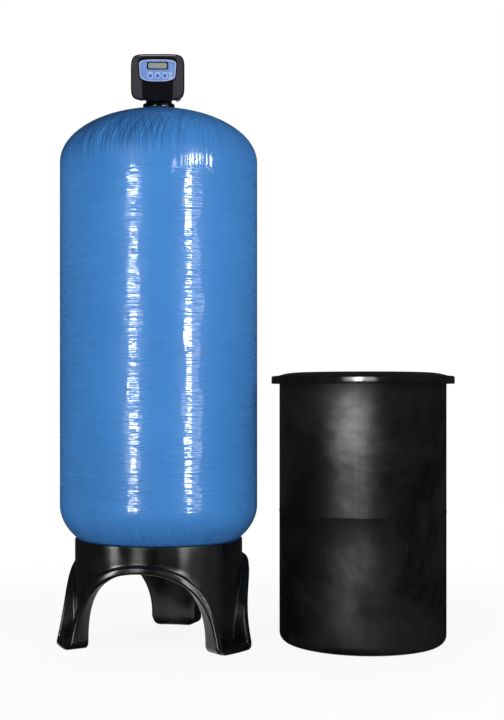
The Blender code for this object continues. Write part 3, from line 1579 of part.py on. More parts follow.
material_steel = finish("stainless_steel", (0.62, 0.62, 0.63), 0.25, 1.0)
material_rubber = finish("seal_rubber", (0.02, 0.02, 0.02), 0.8)
material_resin = finish("resin_amber", (0.45, 0.20, 0.03), 0.6)
material_gravel = finish("gravel_grey", (0.42, 0.40, 0.36), 0.9)

resin_x = (base_reach((-1, 0, 0)) - vessel_gap_middle - lid_radius) / 2
resin_y = (tank_radius - base_reach((0, 1, 0))) / 2
resin_vessel = add_empty("resin_vessel", (resin_x, resin_y, 0))
resin_tank(resin_vessel, material_tank)
tank_neck_ring(resin_vessel, material_body)
tripod_base(resin_vessel, material_base)
gravel_bed(resin_vessel, material_gravel)
resin_bed(resin_vessel, material_resin)
riser_tube(resin_vessel, material_white)
distributor(resin_vessel, material_white)
top_screen(resin_vessel, material_white)
tank_adapter(resin_vessel, material_base, material_rubber)
valve_body(resin_vessel, material_body)
seal_stack(resin_vessel, material_rubber)
piston(resin_vessel, material_white, material_steel)
drive_cap(resin_vessel, material_white)
main_drive_gear(resin_vessel, material_nylon)
reduction_gear(resin_vessel, material_nylon)
motor(resin_vessel, material_steel, material_nylon)
drive_bracket(resin_vessel, material_body)
bracket_screws(resin_vessel, material_steel)
circuit_board(resin_vessel, material_board)
display(resin_vessel, material_glass, material_lcd)
control_panel(resin_vessel, material_panel)
keys(resin_vessel, material_key, material_arrow)
front_cover(resin_vessel, material_cover)
pipe_connectors(resin_vessel, material_body, material_nylon)
flow_meter(resin_vessel, material_white, material_nylon)
side_caps(resin_vessel, material_body)
line_elbows(resin_vessel, material_body, material_nylon)

brine_vessel = add_empty("brine_vessel", (resin_x + vessel_gap_middle, resin_y - brine_forward, 0))
brine_tank(brine_vessel, material_brine)
brine_lid(brine_vessel, material_brine)
salt_grid(brine_vessel, material_white)
brine_well(brine_vessel, material_white, material_brine)
safety_float_valve(brine_vessel, material_nylon, material_white, material_steel)
overflow_fitting(brine_vessel, material_brine, material_white)
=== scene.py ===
import json
import math

import bmesh
import bpy
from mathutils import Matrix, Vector

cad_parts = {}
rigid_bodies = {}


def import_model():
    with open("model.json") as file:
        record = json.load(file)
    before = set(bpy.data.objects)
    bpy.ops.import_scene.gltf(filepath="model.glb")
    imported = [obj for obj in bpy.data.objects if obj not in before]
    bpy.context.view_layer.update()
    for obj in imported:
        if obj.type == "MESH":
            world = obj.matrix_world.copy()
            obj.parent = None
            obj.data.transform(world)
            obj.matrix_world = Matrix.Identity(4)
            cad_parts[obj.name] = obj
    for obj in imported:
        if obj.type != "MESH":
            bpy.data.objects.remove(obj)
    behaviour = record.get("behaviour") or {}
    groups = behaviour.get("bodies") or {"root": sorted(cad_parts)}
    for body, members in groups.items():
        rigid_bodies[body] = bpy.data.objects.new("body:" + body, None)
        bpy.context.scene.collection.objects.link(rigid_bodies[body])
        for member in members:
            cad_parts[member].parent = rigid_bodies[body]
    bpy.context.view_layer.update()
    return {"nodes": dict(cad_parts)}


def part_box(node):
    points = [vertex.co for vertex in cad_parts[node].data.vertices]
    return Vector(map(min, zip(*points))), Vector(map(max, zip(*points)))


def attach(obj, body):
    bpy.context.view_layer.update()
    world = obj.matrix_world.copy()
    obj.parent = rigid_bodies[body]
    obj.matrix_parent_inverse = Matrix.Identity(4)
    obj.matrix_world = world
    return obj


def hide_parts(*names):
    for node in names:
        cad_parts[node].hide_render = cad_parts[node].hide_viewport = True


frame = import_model()


def axis_of(name):
    """Where a round CAD piece stands on the floor."""
    low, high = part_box(name)
    return Vector(((low.x + high.x) / 2, (low.y + high.y) / 2, 0.0))


# Where the two vessels stand, and the heights and radii that the pieces share, in metres
tank_axis = axis_of("resin_tank")
brine_axis = axis_of("brine_tank")
tank_radius = 0.385
cylinder_low = 0.530
cylinder_high = 1.860
top_dome = 0.208
bottom_dome = 0.225
neck_radius = 0.0665
mouth_radius = 0.0585
neck_top = 2.0735
hoops_low = 0.526
hoops_high = 1.790
base_height = 0.400
leg_turn = math.radians(-9.6)
brine_radius = 0.322
brine_height = 1.020
weld_height = 0.508


# Mesh work

def in_scene(name, data):
    made = bpy.data.objects.new(name, data)
    bpy.context.scene.collection.objects.link(made)
    return made


def as_object(name, bm, material=None):
    """Put a mesh into the scene as an object with its finish."""
    mesh = bpy.data.meshes.new(name)
    bm.to_mesh(mesh)
    bm.free()
    if material:
        mesh.materials.append(material)
    return in_scene(name, mesh)


def merge(bm, distance=1e-6):
    bmesh.ops.remove_doubles(bm, verts=bm.verts, dist=distance)


def soften(mesh, angle=35):
    mesh.shade_smooth()
    mesh.set_sharp_from_angle(angle=math.radians(angle))


def new_piece(name, bm, material, at=tank_axis, body="softener", stands_for=(), smooth=35):
    """Set a mesh on its vessel's axis, weld it, turn its faces outward, give it its finish and let it ride on
    its body.
    """
    merge(bm)
    bmesh.ops.translate(bm, verts=bm.verts, vec=at)
    bmesh.ops.recalc_face_normals(bm, faces=bm.faces)
    if bm.calc_volume(signed=True) < 0:
        bmesh.ops.reverse_faces(bm, faces=bm.faces)
    piece = as_object(name, bm, material)
    soften(piece.data, smooth)
    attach(piece, body)
    if stands_for:
        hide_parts(*stands_for)
    return piece


def lathe(profile, steps=160, centre=(0, 0, 0), axis="Z", bm=None):
    """Spin (radius, height) points a full turn about a Z or Y axis through the centre."""
    bm = bm or bmesh.new()
    centre = Vector(centre)
    along = Vector((0, 0, 1)) if axis == "Z" else Vector((0, 1, 0))
    outward = Vector((1, 0, 0))
    verts = [bm.verts.new(centre + outward * r + along * h) for r, h in profile]
    edges = [bm.edges.new(pair) for pair in zip(verts, verts[1:])]
    bmesh.ops.spin(bm, geom=verts + edges, cent=centre, axis=along, angle=2 * math.pi, steps=steps,
                   use_merge=True)
    merge(bm)
    return bm


def extruded(bm, edges):
    """Extrude edges, and give back the new vertices and the new edges."""
    made = bmesh.ops.extrude_edge_only(bm, edges=edges)["geom"]
    return ([item for item in made if isinstance(item, bmesh.types.BMVert)],
            [item for item in made if isinstance(item, bmesh.types.BMEdge)])


def drawn_rows(rows, closed=False, bm=None):
    """Extrude a first row of points again and again, and set each new row in its place."""
    bm = bm or bmesh.new()
    verts = [bm.verts.new(point) for point in rows[0]]
    pairs = list(zip(verts, verts[1:] + verts[:1] if closed else verts[1:]))
    edges = [bm.edges.new(pair) for pair in pairs]
    for row in rows[1:]:
        places = {tuple(round(c, 6) for c in v.co): k for k, v in enumerate(verts)}
        fresh, edges = extruded(bm, edges)
        verts = [None] * len(row)
        for v in fresh:
            verts[places[tuple(round(c, 6) for c in v.co)]] = v
        for v, point in zip(verts, row):
            v.co = point
    return bm


def cap_holes(bm):
    bmesh.ops.holes_fill(bm, edges=[e for e in bm.edges if e.is_boundary], sides=0)
    return bm


def quarter(start, end, steps, second_first=True):
    """Points of a quarter round from start to end; it sets out along the second axis, or along the first."""
    (a0, b0), (a1, b1) = start, end
    points = []
    for k in range(steps + 1):
        t = math.pi / 2 * k / steps
        late, early = 1 - math.cos(t), math.sin(t)
        first, second = (late, early) if second_first else (early, late)
        points.append((a0 + (a1 - a0) * first, b0 + (b1 - b0) * second))
    return points


def superellipse(half_width, half_height, power, count, middle=(0.0, 0.0)):
    points = []
    for k in range(count):
        t = 2 * math.pi * (k + 0.5) / count
        x, z = (math.copysign(abs(v) ** (2 / power), v) for v in (math.cos(t), math.sin(t)))
        points.append((middle[0] + half_width * x, middle[1] + half_height * z))
    return points


def facing(outline, y):
    return [Vector((x, y, z)) for x, z in outline]


# Node work

def is_socket(value):
    return isinstance(value, bpy.types.NodeSocket)


def feed(tree, made, values):
    """Link or set the inputs of a node."""
    for key, value in values.items():
        if is_socket(value):
            tree.links.new(value, made.inputs[key])
        else:
            made.inputs[key].default_value = value
    return made


def node(tree, kind, inputs=None, **settings):
    made = tree.nodes.new(kind)
    for key, value in settings.items():
        setattr(made, key, value)
    return feed(tree, made, inputs or {})


def noise(tree, vector, scale, detail, **more):
    values = {"Vector": vector, "Scale": scale, "Detail": detail, **more}
    return node(tree, "ShaderNodeTexNoise", values).outputs["Fac"]


def maths(tree, operation, a, b=None, c=None, clamp=False):
    values = {k: v for k, v in enumerate((a, b, c)) if v is not None}
    return node(tree, "ShaderNodeMath", values, operation=operation, use_clamp=clamp).outputs[0]


def mapped(tree, vector, **how):
    return node(tree, "ShaderNodeMapping", {"Vector": vector, **how}).outputs[0]


def vector_maths(tree, operation, inputs):
    return node(tree, "ShaderNodeVectorMath", inputs, operation=operation).outputs


def times(tree, a, b):
    return maths(tree, "MULTIPLY", a, b)


def apart(tree, a, b):
    """How far two values are apart."""
    return maths(tree, "ABSOLUTE", maths(tree, "SUBTRACT", a, b))


def ramp(tree, value, low, high, start=0.0, end=1.0, kind="SMOOTHSTEP"):
    made = node(tree, "ShaderNodeMapRange", {0: value, 1: low, 2: high, 3: start, 4: end},
                interpolation_type=kind)
    return made.outputs[0]


def blend(tree, share, first, second):
    """Mix two colours."""
    first, second = (colour if is_socket(colour) else (*colour, 1.0) for colour in (first, second))
    return node(tree, "ShaderNodeMix", {0: share, 6: first, 7: second}, data_type="RGBA").outputs[2]


def layered(tree, colour, layers):
    """Lay colours over a first one, each by its own share."""
    for share, over in layers:
        colour = blend(tree, share, colour, over)
    return colour


def new_group(name, inputs, outputs):
    group = bpy.data.node_groups.new(name, "ShaderNodeTree")
    for label, kind, start in inputs:
        socket = group.interface.new_socket(name=label, in_out="INPUT", socket_type=kind)
        if start is not None:
            socket.default_value = start
    for label, kind in outputs:
        group.interface.new_socket(name=label, in_out="OUTPUT", socket_type=kind)
    return group, group.nodes.new("NodeGroupInput"), group.nodes.new("NodeGroupOutput")


def moulded_grain_group():
    """Fine orange peel over a broad cloudiness, for moulded surfaces."""
    group, given, made = new_group(
        "moulded_grain",
        [("Vector", "NodeSocketVector", None), ("Grain Scale", "NodeSocketFloat", 700.0),
         ("Cloud Scale", "NodeSocketFloat", 5.0)],
        [("Grain", "NodeSocketFloat"), ("Cloud", "NodeSocketFloat")])
    vector = given.outputs["Vector"]
    fine = noise(group, vector, given.outputs["Grain Scale"], 2.0, Roughness=0.55)
    broad = noise(group, vector, given.outputs["Cloud Scale"], 4.0, Roughness=0.6)
    feed(group, made, {"Grain": fine, "Cloud": ramp(group, broad, 0.32, 0.68)})
    return group


def scuff_group():
    """Sparse fine scratches and rubbed spots from handling."""
    group, given, made = new_group(
        "handling_marks",
        [("Vector", "NodeSocketVector", None), ("Scale", "NodeSocketFloat", 40.0),
         ("Amount", "NodeSocketFloat", 0.3)],
        [("Mask", "NodeSocketFloat")])
    vector = given.outputs["Vector"]
    lines = []
    for turn in (0.5, 2.1):
        turned = mapped(group, vector, Rotation=(0.4, turn, turn * 0.7), Scale=(1.0, 14.0, 1.0))
        lines.append(ramp(group, noise(group, turned, given.outputs["Scale"], 3.0), 0.66, 0.72))
    where = ramp(group, noise(group, vector, 7.0, 3.0), 0.45, 0.65)
    shown = times(group, maths(group, "MAXIMUM", *lines), where)
    feed(group, made, {"Mask": times(group, shown, given.outputs["Amount"])})
    return group


moulded_grain = moulded_grain_group()
handling_marks = scuff_group()


def use_group(tree, group, **inputs):
    values = {key.replace("_", " "): value for key, value in inputs.items()}
    return node(tree, "ShaderNodeGroup", values, node_tree=group)


def new_material(name):
    material = bpy.data.materials.new(name)
    material.use_nodes = True
    tree = material.node_tree
    return material, tree, tree.nodes["Principled BSDF"], node(tree, "ShaderNodeTexCoord").outputs["Object"]


def bump(tree, height, distance, strength=1.0):
    values = {"Height": height, "Distance": distance, "Strength": strength}
    return node(tree, "ShaderNodeBump", values).outputs[0]


def moulded(name, colour, roughness, spread=0.05, tint=0.10, grain=700.0, depth=0.00006, specular=0.5,
            metallic=0.0, cloud=5.0, marks=0.25):
    """Moulded plastic, rubber or metal: a cloudy tint, an uneven gloss, a fine grain and a few marks."""
    material, tree, shader, place = new_material(name)
    skin = use_group(tree, moulded_grain, Vector=place, Grain_Scale=grain, Cloud_Scale=cloud)
    worn = use_group(tree, handling_marks, Vector=place, Amount=marks)
    darker = tuple(c * (1 - tint) for c in colour)
    lighter = tuple(min(c * (1 + tint) + 0.002, 1.0) for c in colour)
    base = blend(tree, skin.outputs["Cloud"], darker, lighter)
    paler = tuple(min(c * 1.3 + 0.012, 1.0) for c in colour)
    uneven = ramp(tree, skin.outputs["Cloud"], 0, 1, roughness - spread, roughness + spread, "LINEAR")
    feed(tree, shader, {
        "Base Color": blend(tree, worn.outputs["Mask"], base, paler),
        "Roughness": maths(tree, "MULTIPLY_ADD", worn.outputs["Mask"], 0.12, uneven, clamp=True),
        "Normal": bump(tree, skin.outputs["Grain"], depth),
        "Specular IOR Level": specular, "Metallic": metallic})
    return material


def centred(tree, place, axis):
    """Object coordinates measured from a vessel's own axis."""
    return mapped(tree, place, Location=-axis)


def stretched(tree, place, scale, detail, roughness):
    """Noise on coordinates that are scaled differently each way."""
    return noise(tree, mapped(tree, place, Scale=scale), 1.0, detail, Roughness=roughness)


def wound_threads(tree, flat, z, side, touch, fine):
    """Threads that touch a circle about the pole and run out over a dome, all round the vessel."""
    reach = vector_maths(tree, "LENGTH", {0: flat})["Value"]
    share = maths(tree, "DIVIDE", touch, maths(tree, "MAXIMUM", reach, touch))
    turn = times(tree, maths(tree, "ARCCOSINE", share), -side)
    turned = node(tree, "ShaderNodeVectorRotate", {"Vector": flat, "Angle": turn},
                  rotation_type="Z_AXIS").outputs[0]
    way = vector_maths(tree, "NORMALIZE", {0: turned})[0]
    wide = vector_maths(tree, "SCALE", {0: way, 3: fine})[0]
    rise = node(tree, "ShaderNodeCombineXYZ", {0: 0.0, 1: 0.0, 2: times(tree, z, 3.0)})
    where = vector_maths(tree, "ADD", {0: wide, 1: rise.outputs[0]})[0]
    return noise(tree, where, 1.0, 3.0, Roughness=0.6)


def wound_fibreglass():
    """Blue resin over glass threads: level hoops on the cylinder, swirling threads on both domes, and painted
    shade near the neck on the left.
    """
    material, tree, shader, place = new_material("wound_fibreglass")
    local = centred(tree, place, tank_axis)
    x, y, z = node(tree, "ShaderNodeSeparateXYZ", {0: local}).outputs
    on_top = ramp(tree, z, hoops_high - 0.006, hoops_high + 0.006)
    on_bottom = ramp(tree, z, hoops_low + 0.006, hoops_low - 0.006)
    dome_share = maths(tree, "ADD", on_top, on_bottom)

    hoops = stretched(tree, local, (2.6, 2.6, 95.0), 4.0, 0.68)
    rungs = stretched(tree, local, (14.0, 14.0, 150.0), 1.0, 0.60)
    flecks = stretched(tree, local, (60.0, 60.0, 230.0), 1.0, 0.50)
    sway = stretched(tree, local, (3.0, 3.0, 4.5), 1.0, 0.5)
    flat = node(tree, "ShaderNodeCombineXYZ", {0: x, 1: y, 2: 0.0}).outputs[0]
    swirls = [wound_threads(tree, flat, z, side, touch, fine)
              for side, touch, fine in ((-1, 0.150, 84.0), (1, 0.085, 66.0))]
    crossing = maths(tree, "ADD", swirls[0], swirls[1])

    hoop_height = maths(tree, "MULTIPLY_ADD", hoops, 0.6, rungs)
    dome_height = maths(tree, "MULTIPLY_ADD", crossing, 0.26, 0.54)
    height = node(tree, "ShaderNodeMix", {0: dome_share, 2: hoop_height, 3: dome_height}).outputs[0]

    blue = (0.050, 0.218, 0.560)
    deep = (0.034, 0.160, 0.450)
    pale = (0.066, 0.255, 0.610)
    dark = (0.008, 0.030, 0.110)
    clouds = noise(tree, local, 3.0, 3.0)
    layers = [(ramp(tree, clouds, 0.35, 0.65, 0.0, 0.30), deep),
              (ramp(tree, hoops, 0.50, 0.70, 0.0, 0.35), pale),
              (times(tree, ramp(tree, hoops, 0.44, 0.34), 0.22), deep)]
    left = ramp(tree, x, 0.20, -0.24, 0.30, 1.0)
    high = times(tree, ramp(tree, z, hoops_high + 0.02, hoops_high + 0.15, 0.10, 1.0), left)
    low = ramp(tree, z, hoops_low - 0.01, hoops_low - 0.09, 0.04, 0.20)
    strength = maths(tree, "MAXIMUM", times(tree, high, on_top), times(tree, low, on_bottom))
    # Painted shade: the top dome darkens towards the neck, most of all on its left side.
    painted_shade = times(tree, ramp(tree, z, hoops_high + 0.13, hoops_high + 0.26, 0.0, 0.46), left)
    layers.append((painted_shade, dark))
    for threads, amount in zip(swirls, (1.0, 0.6)):
        lines = times(tree, ramp(tree, threads, 0.54, 0.42), strength)
        layers.append((times(tree, lines, amount), dark))
    for level in (hoops_high, hoops_low):
        layers.append((ramp(tree, apart(tree, z, level), 0.0024, 0.0008, 0.0, 0.50), deep))

    # The threads stand proud of the resin, so that a highlight on the gloss coat breaks up like a ladder.
    turns = maths(tree, "SINE", maths(tree, "MULTIPLY_ADD", z, 800.0, times(tree, sway, 9.0)))
    dense = maths(tree, "MULTIPLY_ADD", sway, 0.14, maths(tree, "MULTIPLY_ADD", flecks, 0.6, rungs))
    dense = maths(tree, "MULTIPLY_ADD", turns, 0.10, dense)
    hoop_gloss = ramp(tree, dense, 0.80, 1.02)
    dome_gloss = ramp(tree, swirls[0], 0.50, 0.60)
    feed(tree, shader, {
        "Base Color": layered(tree, blue, layers), "Roughness": ramp(tree, hoops, 0.36, 0.62, 0.40, 0.26),
        "Normal": bump(tree, height, 0.0022), "Specular IOR Level": 0.07, "Coat Roughness": 0.05,
        "Coat Weight": node(tree, "ShaderNodeMix", {0: dome_share, 2: hoop_gloss, 3: dome_gloss}).outputs[0]})
    return material


def rotomoulded_black():
    """Near-black tank wall with a brownish mottled sheen and two faint weld seams."""
    material, tree, shader, place = new_material("rotomoulded_black")
    local = centred(tree, place, brine_axis)
    x, y, z = node(tree, "ShaderNodeSeparateXYZ", {0: local}).outputs
    skin = use_group(tree, moulded_grain, Vector=local, Grain_Scale=420.0, Cloud_Scale=4.2)
    worn = use_group(tree, handling_marks, Vector=local, Amount=0.35, Scale=18.0)
    blotch = noise(tree, local, 2.1, 5.0, Roughness=0.62, Distortion=0.4)
    cloudy = ramp(tree, blotch, 0.36, 0.66)
    seam_x = brine_radius * math.sin(math.radians(-11.4))
    line = ramp(tree, apart(tree, x, seam_x), 0.0022, 0.0006)
    front = ramp(tree, y, 0.0, -0.01)
    above = ramp(tree, z, weld_height - 0.001, weld_height + 0.002)
    seam = times(tree, times(tree, line, front), above)
    weld = ramp(tree, apart(tree, z, weld_height), 0.0040, 0.0012)
    colour = layered(tree, (0.0016, 0.0016, 0.0018), (
        (cloudy, (0.0135, 0.0112, 0.0092)), (worn.outputs["Mask"], (0.05, 0.047, 0.043)),
        (times(tree, seam, 0.5), (0.036, 0.033, 0.030)), (times(tree, weld, 0.75), (0.004, 0.004, 0.004))))
    height = maths(tree, "MULTIPLY_ADD", skin.outputs["Grain"], 0.25, seam)
    height = maths(tree, "MULTIPLY_ADD", skin.outputs["Cloud"], 3.0, height)
    feed(tree, shader, {
        "Base Color": colour, "Roughness": ramp(tree, cloudy, 0.0, 1.0, 0.60, 0.44, "LINEAR"),
        "Normal": bump(tree, height, 0.0004, 0.7), "Specular IOR Level": 0.12,
        "Coat Weight": ramp(tree, blotch, 0.38, 0.60, 0.22, 1.0), "Coat Roughness": 0.34})
    return material


tank_finish = wound_fibreglass()
brine_finish = rotomoulded_black()
base_finish = moulded("base_black_gloss", (0.0036, 0.0036, 0.0041), 0.20, spread=0.06, grain=260.0,
                      depth=0.00012, cloud=7.0, marks=0.5)
lid_finish = moulded("lid_black", (0.0050, 0.0048, 0.0048), 0.18, spread=0.08, grain=420.0, depth=0.00012,
                     specular=1.0, cloud=6.0, marks=0.6)
flange_finish = moulded("flange_black_gloss", (0.0060, 0.0060, 0.0066), 0.16, grain=500.0)
edge_finish = moulded("cover_edge_black", (0.0085, 0.0080, 0.0098), 0.30, grain=1500.0, depth=0.00005,
                      cloud=14.0, marks=0.15)
valve_finish = moulded("valve_black", (0.016, 0.016, 0.017), 0.38, grain=1100.0, depth=0.00008)
cover_finish = moulded("cover_graphite", (0.040, 0.038, 0.046), 0.38, grain=1500.0, depth=0.00006,
                       cloud=14.0, marks=0.15)
# A pale colour that paints the highlight along the cover's top edge.
painted_highlight_finish = moulded("cover_band_painted_highlight", (0.240, 0.200, 0.215), 0.34, grain=1500.0, depth=0.00005, marks=0.1)
inlay_finish = moulded("inlay_black_gloss", (0.0065, 0.0062, 0.0085), 0.14, spread=0.02, grain=900.0,
                       depth=0.00001, marks=0.1)
panel_finish = moulded("panel_blue", (0.150, 0.262, 0.600), 0.33, spread=0.03, tint=0.05, grain=1800.0,
                       depth=0.00003, cloud=30.0, marks=0.08)
keypad = {"spread": 0.03, "grain": 1800.0, "depth": 0.00002, "marks": 0.05}
rim_finish = moulded("panel_rim_pale", (0.420, 0.520, 0.720), 0.30, tint=0.04, **keypad)
key_finish = moulded("key_blue", (0.060, 0.155, 0.530), 0.30, tint=0.05, **keypad)
pale_finish = moulded("key_pale", (0.520, 0.640, 0.900), 0.32, tint=0.04, **keypad)
white_finish = moulded("plain_white_plastic", (0.76, 0.76, 0.74), 0.42, tint=0.04, marks=0.2)
nylon_finish = moulded("grey_nylon", (0.33, 0.33, 0.34), 0.46, tint=0.06)
steel_finish = moulded("stainless_steel", (0.62, 0.62, 0.63), 0.24, tint=0.05, grain=2500.0, metallic=1.0)
rubber_finish = moulded("seal_rubber", (0.016, 0.016, 0.016), 0.75, grain=1500.0, depth=0.0001)
board_finish = moulded("circuit_green", (0.018, 0.15, 0.055), 0.40, grain=2500.0)
resin_finish = moulded("resin_beads", (0.43, 0.19, 0.03), 0.55, tint=0.3, grain=1400.0, depth=0.0006)
gravel_finish = moulded("washed_gravel", (0.40, 0.38, 0.34), 0.85, tint=0.35, grain=220.0, depth=0.002,
                        cloud=60.0)


def liquid_crystal():
    """Grey-green display with a faint grid of dormant segments."""
    material, tree, shader, place = new_material("liquid_crystal")
    shifted = mapped(tree, place, Scale=(170.0, 1.0, 95.0))
    cells = node(tree, "ShaderNodeTexBrick", {"Vector": node(tree, "ShaderNodeVectorRotate", {
        "Vector": shifted, "Angle": math.pi / 2}, rotation_type="X_AXIS").outputs[0],
        "Scale": 1.0, "Mortar Size": 0.06, "Color1": (0, 0, 0, 1), "Color2": (0.25, 0.25, 0.25, 1),
        "Mortar": (1, 1, 1, 1)}, offset=0.0)
    skin = use_group(tree, moulded_grain, Vector=place, Grain_Scale=2500.0, Cloud_Scale=25.0)
    colour = blend(tree, skin.outputs["Cloud"], (0.168, 0.180, 0.156), (0.194, 0.204, 0.176))
    faint = times(tree, cells.outputs["Fac"], 0.10)
    feed(tree, shader, {
        "Base Color": blend(tree, faint, colour, (0.14, 0.16, 0.14)),
        "Roughness": ramp(tree, skin.outputs["Cloud"], 0, 1, 0.32, 0.40),
        "Coat Weight": 0.4, "Coat Roughness": 0.05})
    return material


display_finish = liquid_crystal()


# The pressure tank: one wound shell from the bottom pole to the mouth of the neck

def pressure_tank():
    steps = 36
    turns = [math.pi / 2 * k / steps for k in range(steps + 1)]
    profile = [(tank_radius * math.sin(t), cylinder_low - bottom_dome * math.cos(t)) for t in turns]
    hoops = 12
    profile += [(tank_radius, cylinder_low + (cylinder_high - cylinder_low) * k / hoops)
                for k in range(1, hoops)]
    last = math.acos(neck_radius / tank_radius)
    turns = [last * k / steps for k in range(steps + 1)]
    profile += [(tank_radius * math.cos(t), cylinder_high + top_dome * math.sin(t)) for t in turns]
    profile += [(neck_radius, neck_top - 0.0015), (neck_radius - 0.0004, neck_top - 0.0004),
                (neck_radius - 0.0015, neck_top), (mouth_radius, neck_top), (mouth_radius, neck_top - 0.05)]
    new_piece("tank_shell", lathe(profile), tank_finish,
              stands_for=["resin_tank"])


pressure_tank()


# The tripod base: one moulded skirt with three lipped arches

lip_width = 0.027
lip_round = 0.007
lip_fillet = 0.008
leg_width = 0.1808
arch_height = 0.302
arch_power = 2.22
lip_reach_foot = 0.0719
lip_reach_top = 0.0249
lip_flare = 1.6
foot_corner = 0.030
ledge_height = 0.026
ledge_fade = 0.012
seat_radius = tank_radius * math.sqrt(1 - ((cylinder_low - base_height) / bottom_dome) ** 2)
base_radius = seat_radius + 0.0123
arch_half_width = math.pi * base_radius / 3 - leg_width / 2
base_inner = base_radius - 0.008
skirt_top = 0.362


def lip_radius(z):
    share = min(max(z / (arch_height + lip_width), 0.0), 1.0)
    return base_radius + lip_reach_top + (lip_reach_foot - lip_reach_top) * (1 - share) ** lip_flare


def arch_stations():
    """Shares of the way up one side of an arch, close together at the foot."""
    foot = [("corner", k / 8) for k in range(9)]
    side = [("side", 0.030 * k / 3) for k in range(1, 4)]
    rise = [("side", 0.030 + 0.970 * (k / 30) ** 1.15) for k in range(1, 31)]
    return foot + side + rise


def arch_point(station, grow):
    """One point (arc length, height) of the arch outline, grown outward into the panel."""
    kind, share = station
    wide = arch_half_width + grow
    high = arch_height + grow
    t = math.pi / 2 * share
    if kind == "corner":
        return wide + foot_corner * (1 - math.sin(t)), foot_corner * (1 - math.cos(t))
    arc = wide * max(math.cos(t), 0.0) ** (2 / arch_power)
    return arc, foot_corner + (high - foot_corner) * math.sin(t) ** (2 / arch_power)


def edge_point(station, grow):
    """The matching point on the middle of the leg or under the top ring."""
    middle = math.pi * base_radius / 3
    arc, z = arch_point(station, grow)
    corner_arc, corner_z = arch_point(("side", 0.56), grow)
    if z <= corner_z:
        return middle, z * skirt_top / corner_z
    return middle * arc / corner_arc, skirt_top


def leg_radius(z, base):
    """The closing ledge at the foot of each leg stands out as far as the lips do."""
    if z > ledge_height + ledge_fade:
        return base
    if z > ledge_height - lip_round:
        t = (z - ledge_height + lip_round) / (ledge_fade + lip_round)
        share = 0.5 + 0.5 * math.cos(math.pi * t)
    else:
        share = 1.0
    return base + (lip_radius(z) - 0.001 - base) * share


def skirt_section():
    """Rows from the inside of the wall, round the arch's edge and lip, to the panel: (kind, size, radius)."""
    rows = [("inner", s, 0.0) for s in (1.0, 0.6, 0.25)]
    rows += [("arch", g, ("in", d)) for g, d in quarter((0.003, 0.0), (0.0, 0.003), 3, False)]
    rows += [("arch", 0.0, ("share", s)) for s in (0.25, 0.5, 0.75)]
    rows += [("arch", g, ("lip", d)) for g, d in quarter((0.0, lip_round), (lip_round, 0.0), 6)]
    rows += [("arch", lip_width * s, ("lip", 0.0)) for s in (0.42, 0.58)]
    rows += [("arch", lip_width - lip_round + g, ("lip", d))
             for g, d in quarter((0.0, 0.0), (lip_round, lip_round), 6, False)]
    rows += [("arch", lip_width, ("rest", s)) for s in (0.35, 0.7)]
    rows += [("arch", lip_width + g, ("out", d))
             for g, d in quarter((0.0, lip_fillet), (lip_fillet, 0.0), 5)]
    rows += [("outer", s, 0.0) for s in (0.85, 0.65, 0.45, 0.22, 0.0)]
    return rows


def skirt_row(row, stations, turn):
    kind, size, rule = row
    points = []
    for station, side in stations:
        if kind in ("inner", "outer"):
            grow = 0.004 if kind == "inner" else lip_width + lip_fillet
            a0, z0 = arch_point(station, grow)
            a1, z1 = edge_point(station, grow)
            share = size if kind == "inner" else 1.0 - size
            arc = a0 + (a1 - a0) * share
            z = z0 + (z1 - z0) * share
            radius = base_inner if kind == "inner" else leg_radius(z, base_radius)
        else:
            arc, z = arch_point(station, size)
            way, amount = rule
            top = lip_radius(z)
            if way == "in":
                radius = base_inner + amount
            elif way == "share":
                radius = base_inner + 0.003 + (top - lip_round - base_inner - 0.003) * amount
            elif way == "lip":
                radius = top - amount
            elif way == "rest":
                low = leg_radius(z, base_radius + lip_fillet)
                radius = max(low, top - lip_round + (low - top + lip_round) * amount)
            else:
                radius = leg_radius(z, base_radius + amount)
        angle = turn + side * arc / base_radius
        points.append(Vector((radius * math.sin(angle), -radius * math.cos(angle), z)))
    return points


def tripod_base():
    half = arch_stations()
    stations = [(s, 1) for s in half] + [(s, -1) for s in half[:-1][::-1]]
    bm = bmesh.new()
    for k in range(3):
        turn = leg_turn + 2 * math.pi * k / 3
        drawn_rows([skirt_row(row, stations, turn) for row in skirt_section()], bm=bm)
    merge(bm, 2e-5)

    rim = [e for e in bm.edges if e.is_boundary and min(v.co.z for v in e.verts) > skirt_top - 1e-4]
    edges = [e for e in rim if e.verts[0].co.xy.length > base_radius - 0.002]
    ring = [(base_radius, base_height - 0.005)]
    ring += quarter((base_radius, base_height - 0.004), (base_radius - 0.004, base_height), 4)
    ring += [(seat_radius + 0.0012, base_height), (seat_radius + 0.0004, base_height - 0.001),
             (seat_radius - 0.004, base_height - 0.008), (seat_radius - 0.004, base_height - 0.016),
             (base_inner, base_height - 0.030), (base_inner, skirt_top)]
    for radius, z in ring:
        fresh, edges = extruded(bm, edges)
        for v in fresh:
            way = Vector((v.co.x, v.co.y, 0)).normalized()
            v.co = way * radius + Vector((0, 0, z))
    merge(bm, 2e-5)
    cap_holes(bm)
    new_piece("base_skirt", bm, base_finish, stands_for=["tripod_base"],
              smooth=50)


tripod_base()


# The brine tank and its lid

